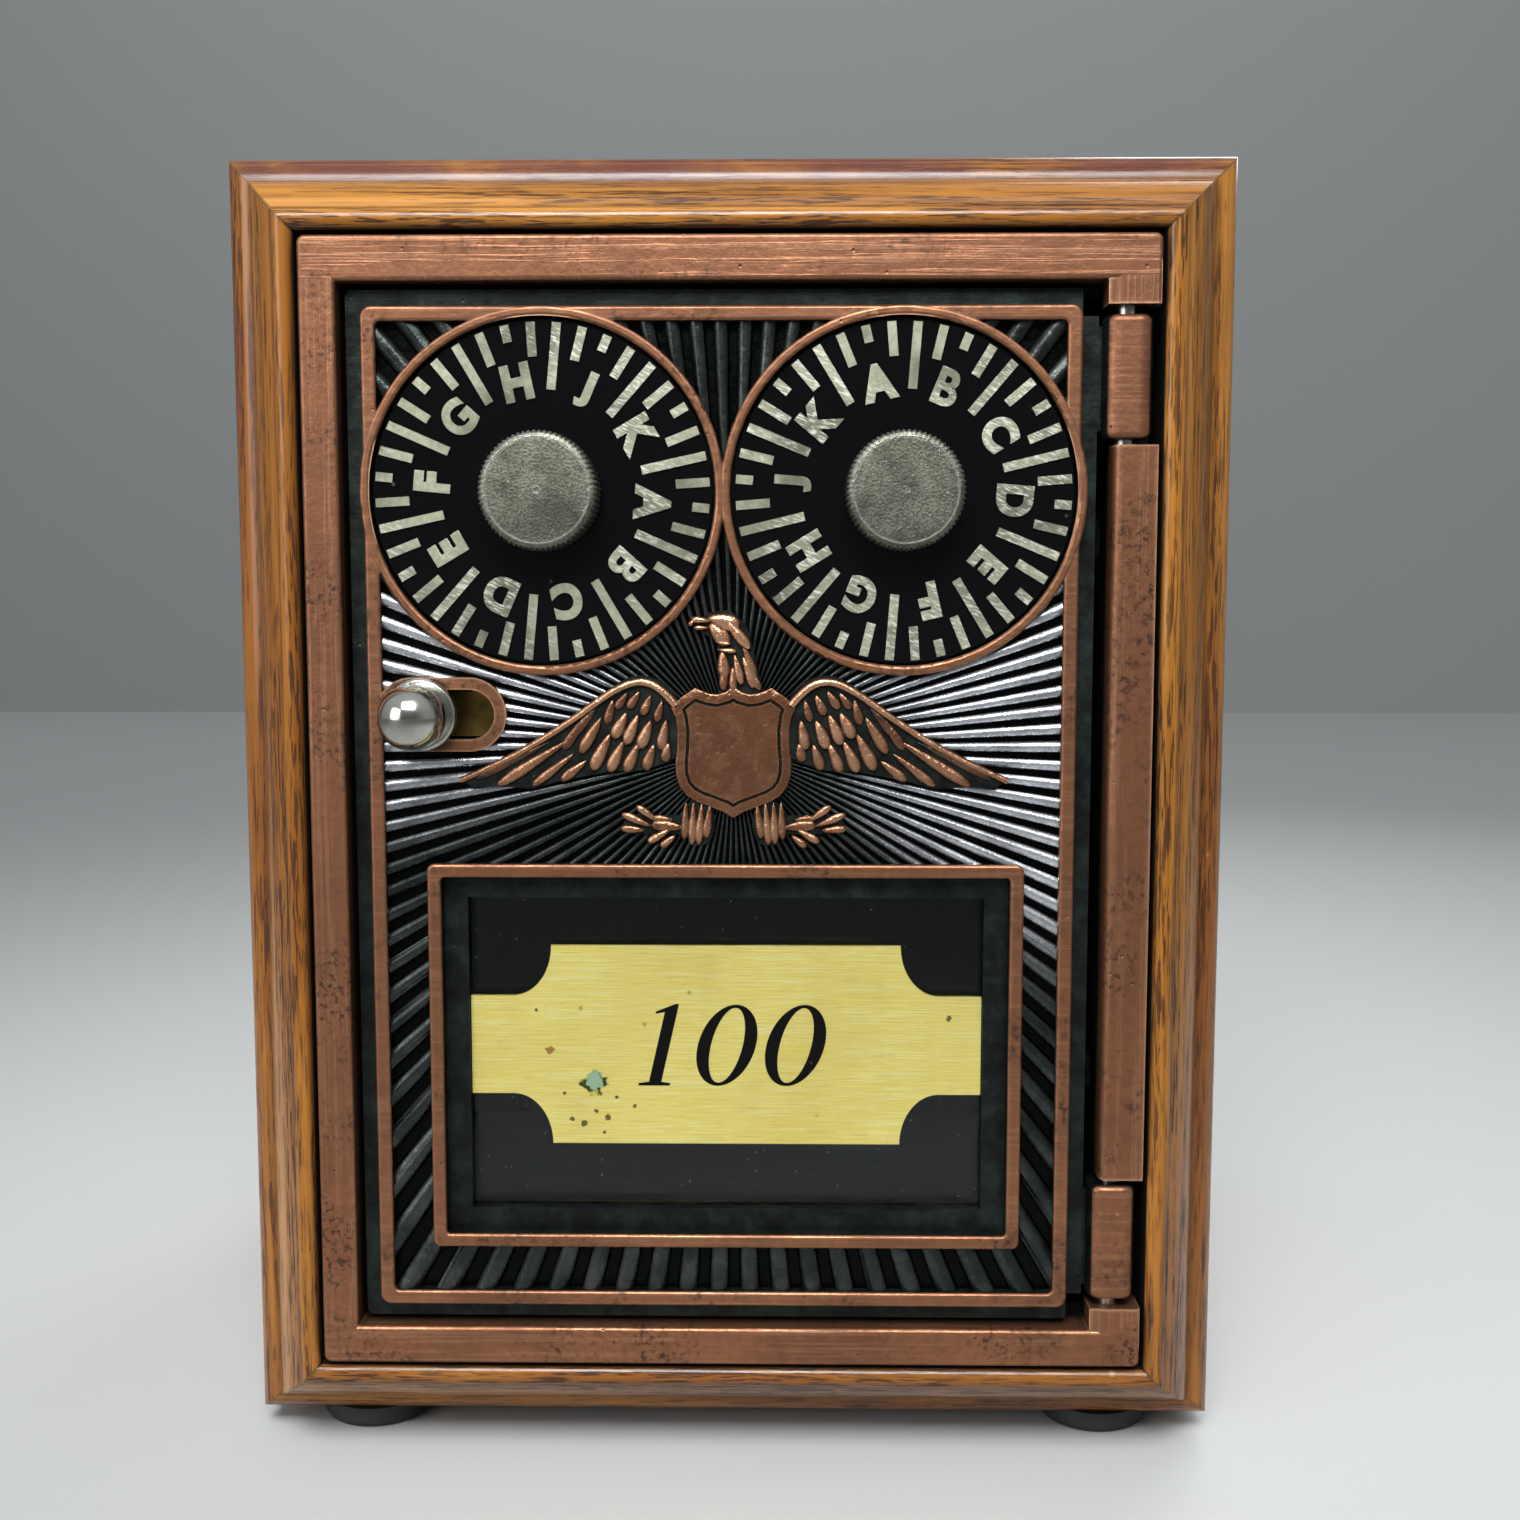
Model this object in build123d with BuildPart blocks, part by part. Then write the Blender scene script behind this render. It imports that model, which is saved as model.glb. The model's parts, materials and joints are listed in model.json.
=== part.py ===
from build123d import *
import os
from math import cos, hypot, radians, sin

# A two-dial post office box door, mounted as the front of a small oak coin bank.
# Millimetres. +Z up, the door faces -Y, +X is to the right of someone facing the door.
# The origin is on the surface under the feet, at the middle of the whole object.
# Depths are measured back from the front face of the brass door frame.

# ---------------------------------------------------------------- driving dimensions
# cast door frame
FRAME_W = 90.5
FRAME_H = 122.6
FRAME_DEPTH = 12.0
BAND_LEFT = 3.95          # width of each band of the frame, seen from the front
BAND_TOP = 4.8
BAND_BOTTOM = 4.2
STILE_W = 4.75            # hinge stile
STILE_SET = 0.3           # its face behind the face of the frame
STILE_EDGE_R = 1.0
FRAME_EDGE_R = 0.5
FRAME_CORNER_R = 0.8
LIP_W = 1.1               # lip behind the door that it closes against
LIP_T = 2.0
LIP_GAP = 0.3

# oak box
FRAME_FIT = 0.5           # gap between the frame and the boards
BOARD_T = 9.6
BOX_D = 100.0
PANEL_T = 5.0
RABBET_W = 5.0
PANEL_FIT = 0.2
BEAD_W = 2.4              # bead next to the frame, then the slope, then the outer round
BEAD_SET = 0.3
BEAD_H = 0.7
BEAD_EDGE = 0.4
SLOPE_W = 4.2
SLOPE_H = 6.6
SLOPE_BOW_X = 0.58        # how full the slope's curve is
SLOPE_BOW_Y = 0.42
QUIRK_H = 0.7
ROUND_H = 2.4
ROUND_BOW = 0.3
SLOT_LEN = 34.0           # coin slot in the top board
SLOT_W = 4.8
SLOT_FROM_BACK = 42.0

# feet
FOOT_R = 6.5
FOOT_H = 2.5
FOOT_EDGE_R = 1.0
FOOT_INSET_X = 12.4
FOOT_INSET_Y = 16.0
FOOT_BORE_R = 1.2
FOOT_SCREW_UP = 6.0
FOOT_HEAD_R = 2.2
FOOT_HEAD_H = 1.0
FOOT_HEAD_SET = 0.4       # screw head above the surface the feet stand on

# hinge
PIN_X = 42.0
PIN_DEPTH = 2.6
PIN_R = 1.1
PIN_FIT = 0.05
PIN_TAIL = 7.0            # how far a pin reaches into the stile
PIN_END_SET = 0.5         # pin end inside the frame's edge
KNUCKLE_W = 5.2
KNUCKLE_R = 1.6
KNUCKLE_EDGE_R = 0.7
KNUCKLE_LEN = 12.9
LUG_W = 5.6
LUG_DROP = 2.5
LUG_ROOT = 2.0            # how far a lug runs into the frame
LUG_SIDE_SET = 0.1
LUG_FACE_SET = 0.15
LUG_GAP = 1.0             # gap between a frame lug and the knuckle next to it
STILE_GAP = 0.6           # gap between a knuckle and the stile
ARM_DEPTH = 2.7
ARM_INSET = 1.0           # arm shorter than its knuckle at each end
ARM_FIT = 0.2             # notch in the edge of the door beside a lug
HINGE_POCKET_FIT = 0.35
HINGE_POCKET_W = 3.0      # how far a hinge pocket reaches into the opening

# door casting
DOOR_FIT = 0.6            # gap around the door
DOOR_RIGHT_FIT = 1.5
LEDGE_DEPTH = 2.0         # step around the edge of the door
DOOR_BACK = 5.0
LEDGE_W = 1.9
BORDER_W = 1.6
BORDER_DEPTH = 0.2
FLOOR_DEPTH = 1.7         # floor of the sunburst panel
RIB_RISE = 0.6
RIM_EDGE_R = 0.35
DOOR_CORNER_R = 0.8
BORDER_CORNER_R = 1.2
ROOT = 0.2                # how far raised work runs into the metal below it
FLOOR_LAP = 0.1           # panel floor under the inside of the border

# dials
DIAL_X_LEFT = -19.8
DIAL_X_RIGHT = 18.5
DIAL_Z = 34.6
DIAL_R = 18.05
DIAL_FIT = 0.3
BEZEL_W = 1.05
BEZEL_DEPTH = 0.1
POCKET_DEPTH = 2.6
DIAL_T = 1.6
DIAL_LIFT = 0.1           # the dial runs this far off the pocket floor
MARK_RISE = 0.2
MARK_COUNT = 40
MARK_W = 0.95
MARK_EDGE = 0.25
MARK_LONG = 7.0
MARK_MID = 3.6
MARK_SHORT = 1.8
LEFT_TURN = 5.5           # degrees clockwise from the top to a long mark, door closed
RIGHT_TURN = 4.5
KNOB_R = 6.25
KNOB_H = 4.6
KNOB_EDGE = 0.5
KNOB_FACE_T = 1.2
KNURL_R = 0.28
KNURL_COUNT = 54
KNURL_SET = 0.11          # centres of the grooves outside the knob
SPINDLE_R = 2.0
SPINDLE_FIT = 0.05
BUSH_R = 3.4
BUSH_FLANGE_R = 4.8
BUSH_FLANGE_T = 2.0
TUMBLER_R = 9.5
TUMBLER_T = 2.4
TUMBLER_GAP = 0.3
GATE_W = 3.6
GATE_H = 4.4
NUT_R = 3.8
NUT_T = 2.2
SPINDLE_TAIL = 0.8

# latch
LATCH_Z = 11.0
LATCH_X = -33.0           # stem of the knob, door closed and latch just clear of the frame
THROW = 2.0               # how far the bolt goes on from there, into the frame
DRAW = 4.0                # how far it is drawn back
LATCH_SLOT_H = 5.35
LATCH_RIM_W = 1.3
LATCH_RIM_DEPTH = 0.3
LATCH_SLOT_END = -25.2
STEM_R = 1.5
STEM_FIT = 0.25
BALL_R = 3.55
FLANGE_R = 3.9
FLANGE_T = 1.0
FLANGE_EDGE_R = 0.4
FLANGE_LIFT = 0.2
BALL_SEAT = 0.15
BOLT_H = 8.4
BOLT_T = 1.8
BOLT_LIFT = 0.15
BOLT_TAIL = 2.0
BOLT_BEVEL = 0.8
TIP_CLEAR = 0.4           # bolt tip to the frame wall, with the latch at rest
KEEPER_FIT = 0.6
FENCE_T = 2.0
FENCE_BAR_H = 7.0
FINGER_W = 2.2
FINGER_H = 3.0
FINGER_NOSE = 1.0
FENCE_CLEAR = 0.3         # finger to tumbler rim, latch drawn right back
GUIDE_W = 4.0
GUIDE_FOOT = 4.2
GUIDE_T = 1.0
GUIDE_FIT = 0.15
RAIL_W = 1.2              # rails on the back of the door, above and below the bolt
RAIL_INSET = 0.6
GUIDE_XS = (-22.5, -2.5)
RIVET_R = 1.3
RIVET_HEAD_R = 2.1
RIVET_HEAD_T = 0.6
RIVET_XS = (-16.0, -11.2)
STEM_NUT_R = 2.6
STEM_NUT_T = 1.4

# window
WINDOW_X = -0.5
WINDOW_Z = -26.6
WINDOW_W = 64.6           # outside of the raised window frame
WINDOW_H = 42.8
WINDOW_RIM_W = 1.5
WINDOW_RIM_DEPTH = 0.2
WINDOW_CORNER_R = 0.8
SIGHT_W = 56.4            # clear opening
SIGHT_H = 34.9
GLASS_LAP = 2.0
GLASS_T = 2.0
GLASS_FIT = 0.1
RETAINER_LAP = 6.4
RETAINER_T = 1.0
RETAINER_FIT = 0.4        # retainer opening outside the window's
RETAINER_CORNER_R = 1.5
RETAINER_INNER_R = 1.0
PLATE_W = 56.2
PLATE_H = 22.3
PLATE_TAB_H = 11.0
PLATE_END_W = 8.9
PLATE_T = 0.5
PLATE_NOTCH = 4.3
PLATE_Z = -25.7

# lock back plate
CAP_GAP = 1.2
CAP_T = 1.0
CAP_CORNER_R = 3.0
CAP_LEFT = -36.0
CAP_RIGHT = 36.0
CAP_TOP = 53.0
CAP_BOTTOM = -2.0
PILLAR_R = 2.4
PILLAR_INSET = 3.2
PILLAR_BORE = 4.0

# screws
SCREW_R = 1.0
SCREW_HEAD_R = 2.0
SCREW_HEAD_H = 1.0
SCREW_BITE = 1.4          # how deep the small screws reach into the door
SCREW_SLOT_W = 0.5
SCREW_SLOT_H = 0.5
WINDOW_SCREW_FIT = 0.2    # retainer screw heads to the edge of the glass
WINDOW_SCREW_Z = 14.0
WOOD_SCREW_R = 1.2
WOOD_HEAD_R = 2.2
WOOD_HEAD_H = 1.2
WOOD_SCREW_IN = 6.0
FRAME_SCREW_Z = 30.0
FRAME_SCREW_DEPTH = 9.4
BACK_SCREW_Z = 48.0

# sunburst and emblem
BURST_X = 0.45
BURST_Z = 7.5
RIB_COUNT = 110
RIB_SHARE = 0.52          # share of each rib's pitch that is metal
RIB_START = 9.0
EMBLEM_RISE = 1.1

OVER = 1.0                # how far a cut runs past what it cuts

# ---------------------------------------------------------------- derived places
OPENING_W = FRAME_W + 2 * FRAME_FIT
OPENING_H = FRAME_H + 2 * FRAME_FIT
BOX_W = OPENING_W + 2 * BOARD_T
BOX_H = OPENING_H + 2 * BOARD_T
MID_Z = FOOT_H + BOX_H / 2
DIAL_FACE = POCKET_DEPTH - DIAL_LIFT - DIAL_T
FLANGE_BACK = -FLANGE_LIFT
BALL_DEPTH = FLANGE_BACK - FLANGE_T + BALL_SEAT - BALL_R
PROUD = max(KNOB_H - DIAL_FACE, BALL_R - BALL_DEPTH)
FACE_Y = PROUD - (BOX_D + PROUD) / 2
BACK_Y = FACE_Y + BOX_D

OPEN_LEFT = -FRAME_W / 2 + BAND_LEFT
OPEN_RIGHT = FRAME_W / 2 - STILE_W
OPEN_TOP = FRAME_H / 2 - BAND_TOP
OPEN_BOTTOM = -FRAME_H / 2 + BAND_BOTTOM
DOOR_LEFT = OPEN_LEFT + DOOR_FIT
DOOR_RIGHT = OPEN_RIGHT - DOOR_RIGHT_FIT
DOOR_TOP = OPEN_TOP - DOOR_FIT
DOOR_BOTTOM = OPEN_BOTTOM + DOOR_FIT
BORDER_LEFT = DOOR_LEFT + LEDGE_W
BORDER_RIGHT = DOOR_RIGHT - LEDGE_W
BORDER_TOP = DOOR_TOP - LEDGE_W
BORDER_BOTTOM = DOOR_BOTTOM + LEDGE_W

UPPER_KNUCKLE_TOP = OPEN_TOP - LUG_DROP - LUG_GAP
UPPER_KNUCKLE_BOTTOM = UPPER_KNUCKLE_TOP - KNUCKLE_LEN
LOWER_KNUCKLE_BOTTOM = OPEN_BOTTOM + LUG_DROP + LUG_GAP
LOWER_KNUCKLE_TOP = LOWER_KNUCKLE_BOTTOM + KNUCKLE_LEN
STILE_TOP = UPPER_KNUCKLE_BOTTOM - STILE_GAP
STILE_BOTTOM = LOWER_KNUCKLE_TOP + STILE_GAP
KNUCKLE_SWING = hypot(KNUCKLE_W / 2 - KNUCKLE_R, KNUCKLE_W / 2 - KNUCKLE_R) + KNUCKLE_R
POCKET_BACK = PIN_DEPTH + KNUCKLE_SWING + HINGE_POCKET_FIT

TIP_X = OPEN_LEFT + TIP_CLEAR
BOLT_FRONT = DOOR_BACK + BOLT_LIFT
BOLT_BACK = BOLT_FRONT + BOLT_T
BUSH_BACK = DOOR_BACK + BUSH_FLANGE_T
TUMBLER_FRONT = max(BUSH_BACK + TUMBLER_GAP, BOLT_BACK + GUIDE_FIT + GUIDE_T + TUMBLER_GAP)
TUMBLER_BACK = TUMBLER_FRONT + TUMBLER_T
FENCE_FRONT = TUMBLER_FRONT + (TUMBLER_T - FENCE_T) / 2
SPINDLE_END = TUMBLER_BACK + NUT_T + SPINDLE_TAIL
CAP_DEPTH = SPINDLE_END + CAP_GAP
DIALS = {"left": (DIAL_X_LEFT, LEFT_TURN), "right": (DIAL_X_RIGHT, RIGHT_TURN)}
WINDOW_SCREW_X = SIGHT_W / 2 + GLASS_LAP + SCREW_HEAD_R + WINDOW_SCREW_FIT
WINDOW_SCREWS = [(WINDOW_X + sx * WINDOW_SCREW_X, WINDOW_Z + sz * WINDOW_SCREW_Z)
                 for sx in (-1, 1) for sz in (-1, 1)]
GUIDE_HALF = BOLT_H / 2 + GUIDE_FIT + GUIDE_T
GUIDE_SCREW_ZS = [LATCH_Z + way * (GUIDE_HALF + GUIDE_FOOT / 2) for way in (-1, 1)]
PILLARS = [(x, z) for x in (CAP_LEFT + PILLAR_INSET, CAP_RIGHT - PILLAR_INSET)
           for z in (CAP_BOTTOM + PILLAR_INSET, CAP_TOP - PILLAR_INSET)]


# ---------------------------------------------------------------- helpers
def front(depth):
    """A plane seen from the front: x to the right, y up, from the middle of the frame."""
    return Plane(origin=(0, FACE_Y + depth, MID_Z), x_dir=(1, 0, 0), z_dir=(0, -1, 0))


def level(z, x=0.0, depth=0.0):
    """A horizontal plane at a height above the middle of the frame, x right, y back."""
    return Plane(origin=(x, FACE_Y + depth, MID_Z + z), x_dir=(1, 0, 0), z_dir=(0, 0, 1))


def block(x0, x1, z0, z1, d0, d1, mode=Mode.ADD, corner=0.0):
    """A block between two x, two heights and two depths, with rounded upright corners."""
    with BuildSketch(front(d0)) as outline:
        with Locations(((x0 + x1) / 2, (z0 + z1) / 2)):
            if corner > 0:
                RectangleRounded(x1 - x0, z1 - z0, corner)
            else:
                Rectangle(x1 - x0, z1 - z0)
    extrude(outline.sketch, amount=-(d1 - d0), mode=mode)


def disc(x, z, r, d0, d1, mode=Mode.ADD):
    """A disc or a round hole along Y."""
    with BuildSketch(front(d0)) as outline:
        with Locations((x, z)):
            Circle(r)
    extrude(outline.sketch, amount=-(d1 - d0), mode=mode)


def countersunk(x, z, r, head_r, d_head, d_end, mode=Mode.ADD, head_h=None):
    """A screw along Y with its flat head at d_head and its point at d_end."""
    head_h = head_r - r if head_h is None else head_h
    way = 1 if d_end > d_head else -1
    disc(x, z, r, min(d_head, d_end), max(d_head, d_end), mode)
    with Locations(Location((x, FACE_Y + d_head + way * head_h / 2, MID_Z + z), (-90 * way, 0, 0))):
        Cone(head_r, r, head_h, mode=mode)


def save(builder, name):
    """Label a finished piece and write it."""
    builder.part.label = name
    export_step(builder.part, f"parts/{name}.step")


os.makedirs("parts", exist_ok=True)


# ---------------------------------------------------------------- oak box
def board(side, half_length):
    """A mitred board on one side of the opening; side is (x, z) pointing outwards.

    Its section has x out from the opening and y back from the frame's face."""
    out = Vector(side[0], 0, side[1])
    along = out.cross(Vector(0, 1, 0))
    half_opening = OPENING_W / 2 if side[0] else OPENING_H / 2
    edge = Vector(0, FACE_Y, MID_Z) + out * half_opening
    slope_end = BEAD_W + SLOPE_W
    bead_back = BEAD_SET + BEAD_H
    slope_back = bead_back + SLOPE_H
    round_start = slope_back + QUIRK_H
    with BuildSketch(Plane(origin=edge, x_dir=out, z_dir=along)) as section:
        with BuildLine():
            Polyline((0, bead_back + BEAD_EDGE), (0, BOX_D - PANEL_T), (RABBET_W, BOX_D - PANEL_T),
                     (RABBET_W, BOX_D), (BOARD_T, BOX_D), (BOARD_T, round_start + ROUND_H))
            ThreePointArc((BOARD_T, round_start + ROUND_H),
                          ((slope_end + BOARD_T * 2) / 3, round_start + ROUND_H * ROUND_BOW),
                          (slope_end, round_start))
            Line((slope_end, round_start), (slope_end, slope_back))
            ThreePointArc((slope_end, slope_back),
                          (BEAD_W + SLOPE_W * SLOPE_BOW_X, bead_back + SLOPE_H * SLOPE_BOW_Y),
                          (BEAD_W, bead_back))
            ThreePointArc((BEAD_W, bead_back), (BEAD_W / 2, BEAD_SET), (0, bead_back + BEAD_EDGE))
        make_face()
    extrude(section.sketch, amount=half_length + BOARD_T, both=True)
    for way in (-1, 1):
        corner = edge + along * (way * half_length)
        split(bisect_by=Plane(origin=corner, z_dir=along * way - out), keep=Keep.BOTTOM)


def frame_screw_holes(x_from, x_to):
    """Two level screws through the frame's side wall into the board beside it."""
    way = 1 if x_to > x_from else -1
    for z in (-FRAME_SCREW_Z, FRAME_SCREW_Z):
        side_plane = Plane(origin=(x_from, FACE_Y + FRAME_SCREW_DEPTH, MID_Z + z),
                           x_dir=(0, 1, 0), z_dir=(way, 0, 0))
        with BuildSketch(side_plane) as hole:
            Circle(WOOD_SCREW_R)
        extrude(hole.sketch, amount=abs(x_to - x_from), mode=Mode.SUBTRACT)


FRAME_SCREW_END = OPENING_W / 2 + WOOD_SCREW_IN
BACK_SCREWS = [(sx * (OPENING_W / 2 + RABBET_W / 2), sz * BACK_SCREW_Z)
               for sx in (-1, 1) for sz in (-1, 1)]
FEET = [(sx * (BOX_W / 2 - FOOT_INSET_X), y)
        for sx in (-1, 1) for y in (FACE_Y + FOOT_INSET_Y, BACK_Y - FOOT_INSET_Y)]

with BuildPart() as box_top:
    board((0, 1), OPENING_W / 2)
    with BuildSketch(Plane.XY.offset(FOOT_H + BOX_H)):
        with Locations((0, BACK_Y - SLOT_FROM_BACK)):
            SlotOverall(SLOT_LEN, SLOT_W)
    extrude(amount=-BOARD_T, mode=Mode.SUBTRACT)
save(box_top, "box_top")

with BuildPart() as box_bottom:
    board((0, -1), OPENING_W / 2)
    with BuildSketch(Plane.XY.offset(FOOT_H)):
        with Locations(*FEET):
            Circle(FOOT_BORE_R)
    extrude(amount=FOOT_SCREW_UP, mode=Mode.SUBTRACT)
save(box_bottom, "box_bottom")

for name, way in (("box_left", -1), ("box_right", 1)):
    with BuildPart() as box_side:
        board((way, 0), OPENING_H / 2)
        frame_screw_holes(way * OPENING_W / 2, way * FRAME_SCREW_END)
        for x, z in BACK_SCREWS:
            if x * way > 0:
                disc(x, z, WOOD_SCREW_R, BOX_D - PANEL_T - WOOD_SCREW_IN, BOX_D, Mode.SUBTRACT)
    save(box_side, name)

with BuildPart() as back_panel:
    half_w = OPENING_W / 2 + RABBET_W - PANEL_FIT
    half_h = OPENING_H / 2 + RABBET_W - PANEL_FIT
    block(-half_w, half_w, -half_h, half_h, BOX_D - PANEL_T, BOX_D)
    for x, z in BACK_SCREWS:
        countersunk(x, z, WOOD_SCREW_R, WOOD_HEAD_R, BOX_D, BOX_D - PANEL_T, Mode.SUBTRACT,
                    WOOD_HEAD_H)
save(back_panel, "back_panel")

with BuildPart() as back_screws:
    for x, z in BACK_SCREWS:
        countersunk(x, z, WOOD_SCREW_R, WOOD_HEAD_R, BOX_D, BOX_D - PANEL_T - WOOD_SCREW_IN,
                    Mode.ADD, WOOD_HEAD_H)
        block(x - WOOD_HEAD_R, x + WOOD_HEAD_R, z - SCREW_SLOT_W / 2, z + SCREW_SLOT_W / 2,
              BOX_D - SCREW_SLOT_H, BOX_D, Mode.SUBTRACT)
save(back_screws, "back_screws")

with BuildPart() as rubber_feet:
    with BuildSketch(Plane.XY):
        with Locations(*FEET):
            Circle(FOOT_R)
    extrude(amount=FOOT_H)
    fillet(rubber_feet.edges().filter_by(GeomType.CIRCLE).group_by(Axis.Z)[0], FOOT_EDGE_R)
    with BuildSketch(Plane.XY):
        with Locations(*FEET):
            Circle(FOOT_BORE_R)
    extrude(amount=FOOT_H, mode=Mode.SUBTRACT)
    with BuildSketch(Plane.XY):
        with Locations(*FEET):
            Circle(FOOT_HEAD_R)
    extrude(amount=FOOT_HEAD_H + FOOT_HEAD_SET, mode=Mode.SUBTRACT)
save(rubber_feet, "rubber_feet")

with BuildPart() as foot_screws:
    with BuildSketch(Plane.XY.offset(FOOT_HEAD_SET)):
        with Locations(*FEET):
            Circle(FOOT_HEAD_R)
    extrude(amount=FOOT_HEAD_H)
    with BuildSketch(Plane.XY.offset(FOOT_HEAD_SET)):
        with Locations(*FEET):
            Circle(FOOT_BORE_R)
    extrude(amount=FOOT_H - FOOT_HEAD_SET + FOOT_SCREW_UP)
save(foot_screws, "foot_screws")


# ---------------------------------------------------------------- door frame
def hinge_pocket(z0, z1):
    """Room in the frame for a knuckle to turn in, open to the front and to the side."""
    block(OPEN_RIGHT - HINGE_POCKET_W, FRAME_W / 2 + OVER, z0, z1, -OVER, POCKET_BACK, Mode.SUBTRACT)


with BuildPart() as door_frame:
    with BuildSketch(front(0)):
        RectangleRounded(FRAME_W, FRAME_H, FRAME_CORNER_R)
    extrude(amount=-FRAME_DEPTH)
    block(OPEN_LEFT, OPEN_RIGHT, OPEN_BOTTOM, OPEN_TOP, 0, FRAME_DEPTH, Mode.SUBTRACT)
    fillet(door_frame.faces().sort_by(Axis.Y)[0].edges(), FRAME_EDGE_R)
    lug_left = FRAME_W / 2 - LUG_W
    lug_right = FRAME_W / 2 - LUG_SIDE_SET
    block(lug_left, lug_right, OPEN_TOP - LUG_DROP, OPEN_TOP + LUG_ROOT, LUG_FACE_SET, FRAME_DEPTH)
    block(lug_left, lug_right, OPEN_BOTTOM - LUG_ROOT, OPEN_BOTTOM + LUG_DROP, LUG_FACE_SET,
          FRAME_DEPTH)
    hinge_pocket(STILE_TOP, OPEN_TOP - LUG_DROP)
    hinge_pocket(OPEN_BOTTOM + LUG_DROP, STILE_BOTTOM)
    block(OPEN_RIGHT - OVER, FRAME_W / 2 + OVER, STILE_BOTTOM - OVER, STILE_TOP + OVER, -OVER,
          STILE_SET, Mode.SUBTRACT)
    with BuildSketch(level(STILE_BOTTOM, OPEN_RIGHT, STILE_SET)):
        Rectangle(STILE_EDGE_R, STILE_EDGE_R, align=(Align.MIN, Align.MIN))
        with Locations((STILE_EDGE_R, STILE_EDGE_R)):
            Circle(STILE_EDGE_R, mode=Mode.SUBTRACT)
    extrude(amount=STILE_TOP - STILE_BOTTOM, mode=Mode.SUBTRACT)
    lip_front = DOOR_BACK + LIP_GAP
    lip_back = lip_front + LIP_T
    block(OPEN_LEFT, OPEN_LEFT + LIP_W, OPEN_BOTTOM, OPEN_TOP, lip_front, lip_back)
    block(OPEN_LEFT, OPEN_RIGHT, OPEN_TOP - LIP_W, OPEN_TOP, lip_front, lip_back)
    block(OPEN_LEFT, OPEN_RIGHT, OPEN_BOTTOM, OPEN_BOTTOM + LIP_W, lip_front, lip_back)
    keeper_half = BOLT_H / 2 + KEEPER_FIT
    block(OPEN_LEFT, OPEN_LEFT + LIP_W + OVER, LATCH_Z - keeper_half - OVER,
          LATCH_Z + keeper_half + OVER, lip_front - OVER, lip_back + OVER, Mode.SUBTRACT)
    block(OPEN_LEFT - THROW - KEEPER_FIT, OPEN_LEFT + OVER, LATCH_Z - keeper_half,
          LATCH_Z + keeper_half, BOLT_FRONT - KEEPER_FIT, BOLT_BACK + KEEPER_FIT, Mode.SUBTRACT)
    for z_from, z_to in ((STILE_TOP - PIN_TAIL, FRAME_H / 2), (-FRAME_H / 2, STILE_BOTTOM + PIN_TAIL)):
        with BuildSketch(level(z_from, PIN_X, PIN_DEPTH)):
            Circle(PIN_R)
        extrude(amount=z_to - z_from, mode=Mode.SUBTRACT)
    frame_screw_holes(OPEN_LEFT, -FRAME_W / 2)
    frame_screw_holes(OPEN_RIGHT, FRAME_W / 2)
    for wall_x, way in ((OPEN_LEFT, -1), (OPEN_RIGHT, 1)):
        for z in (-FRAME_SCREW_Z, FRAME_SCREW_Z):
            sink = Location((wall_x + way * WOOD_HEAD_H / 2, FACE_Y + FRAME_SCREW_DEPTH, MID_Z + z),
                            (0, 90 * way, 0))
            with Locations(sink):
                Cone(WOOD_HEAD_R, WOOD_SCREW_R, WOOD_HEAD_H, mode=Mode.SUBTRACT)
save(door_frame, "door_frame")

with BuildPart() as frame_screws:
    for wall_x, way in ((OPEN_LEFT, -1), (OPEN_RIGHT, 1)):
        for z in (-FRAME_SCREW_Z, FRAME_SCREW_Z):
            place = Plane(origin=(wall_x, FACE_Y + FRAME_SCREW_DEPTH, MID_Z + z),
                          x_dir=(0, 1, 0), z_dir=(way, 0, 0))
            with BuildSketch(place):
                Circle(WOOD_SCREW_R)
            extrude(amount=FRAME_SCREW_END - abs(wall_x))
            sink = Location((wall_x + way * WOOD_HEAD_H / 2, FACE_Y + FRAME_SCREW_DEPTH, MID_Z + z),
                            (0, 90 * way, 0))
            with Locations(sink):
                Cone(WOOD_HEAD_R, WOOD_SCREW_R, WOOD_HEAD_H)
save(frame_screws, "frame_screws")

PIN_END_Z = FRAME_H / 2 - PIN_END_SET
for name, z_from, z_to in (("hinge_pin_top", STILE_TOP - PIN_TAIL, PIN_END_Z),
                           ("hinge_pin_bottom", -PIN_END_Z, STILE_BOTTOM + PIN_TAIL)):
    with BuildPart() as hinge_pin:
        with BuildSketch(level(z_from, PIN_X, PIN_DEPTH)):
            Circle(PIN_R)
        extrude(amount=z_to - z_from)
    save(hinge_pin, name)


# ---------------------------------------------------------------- door casting
def raised_rim(width, height, rim_w, x, z, d_face, d_base, corner):
    """A rectangular raised rim with rounded front edges."""
    with BuildPart(mode=Mode.PRIVATE) as rim:
        block(x - width / 2, x + width / 2, z - height / 2, z + height / 2, d_face, d_base,
              corner=corner)
        inner_w, inner_h = width - 2 * rim_w, height - 2 * rim_w
        block(x - inner_w / 2, x + inner_w / 2, z - inner_h / 2, z + inner_h / 2, d_face, d_base,
              Mode.SUBTRACT, corner / 2)
        fillet(rim.faces().sort_by(Axis.Y)[0].edges(), RIM_EDGE_R)
    return rim.part


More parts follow.
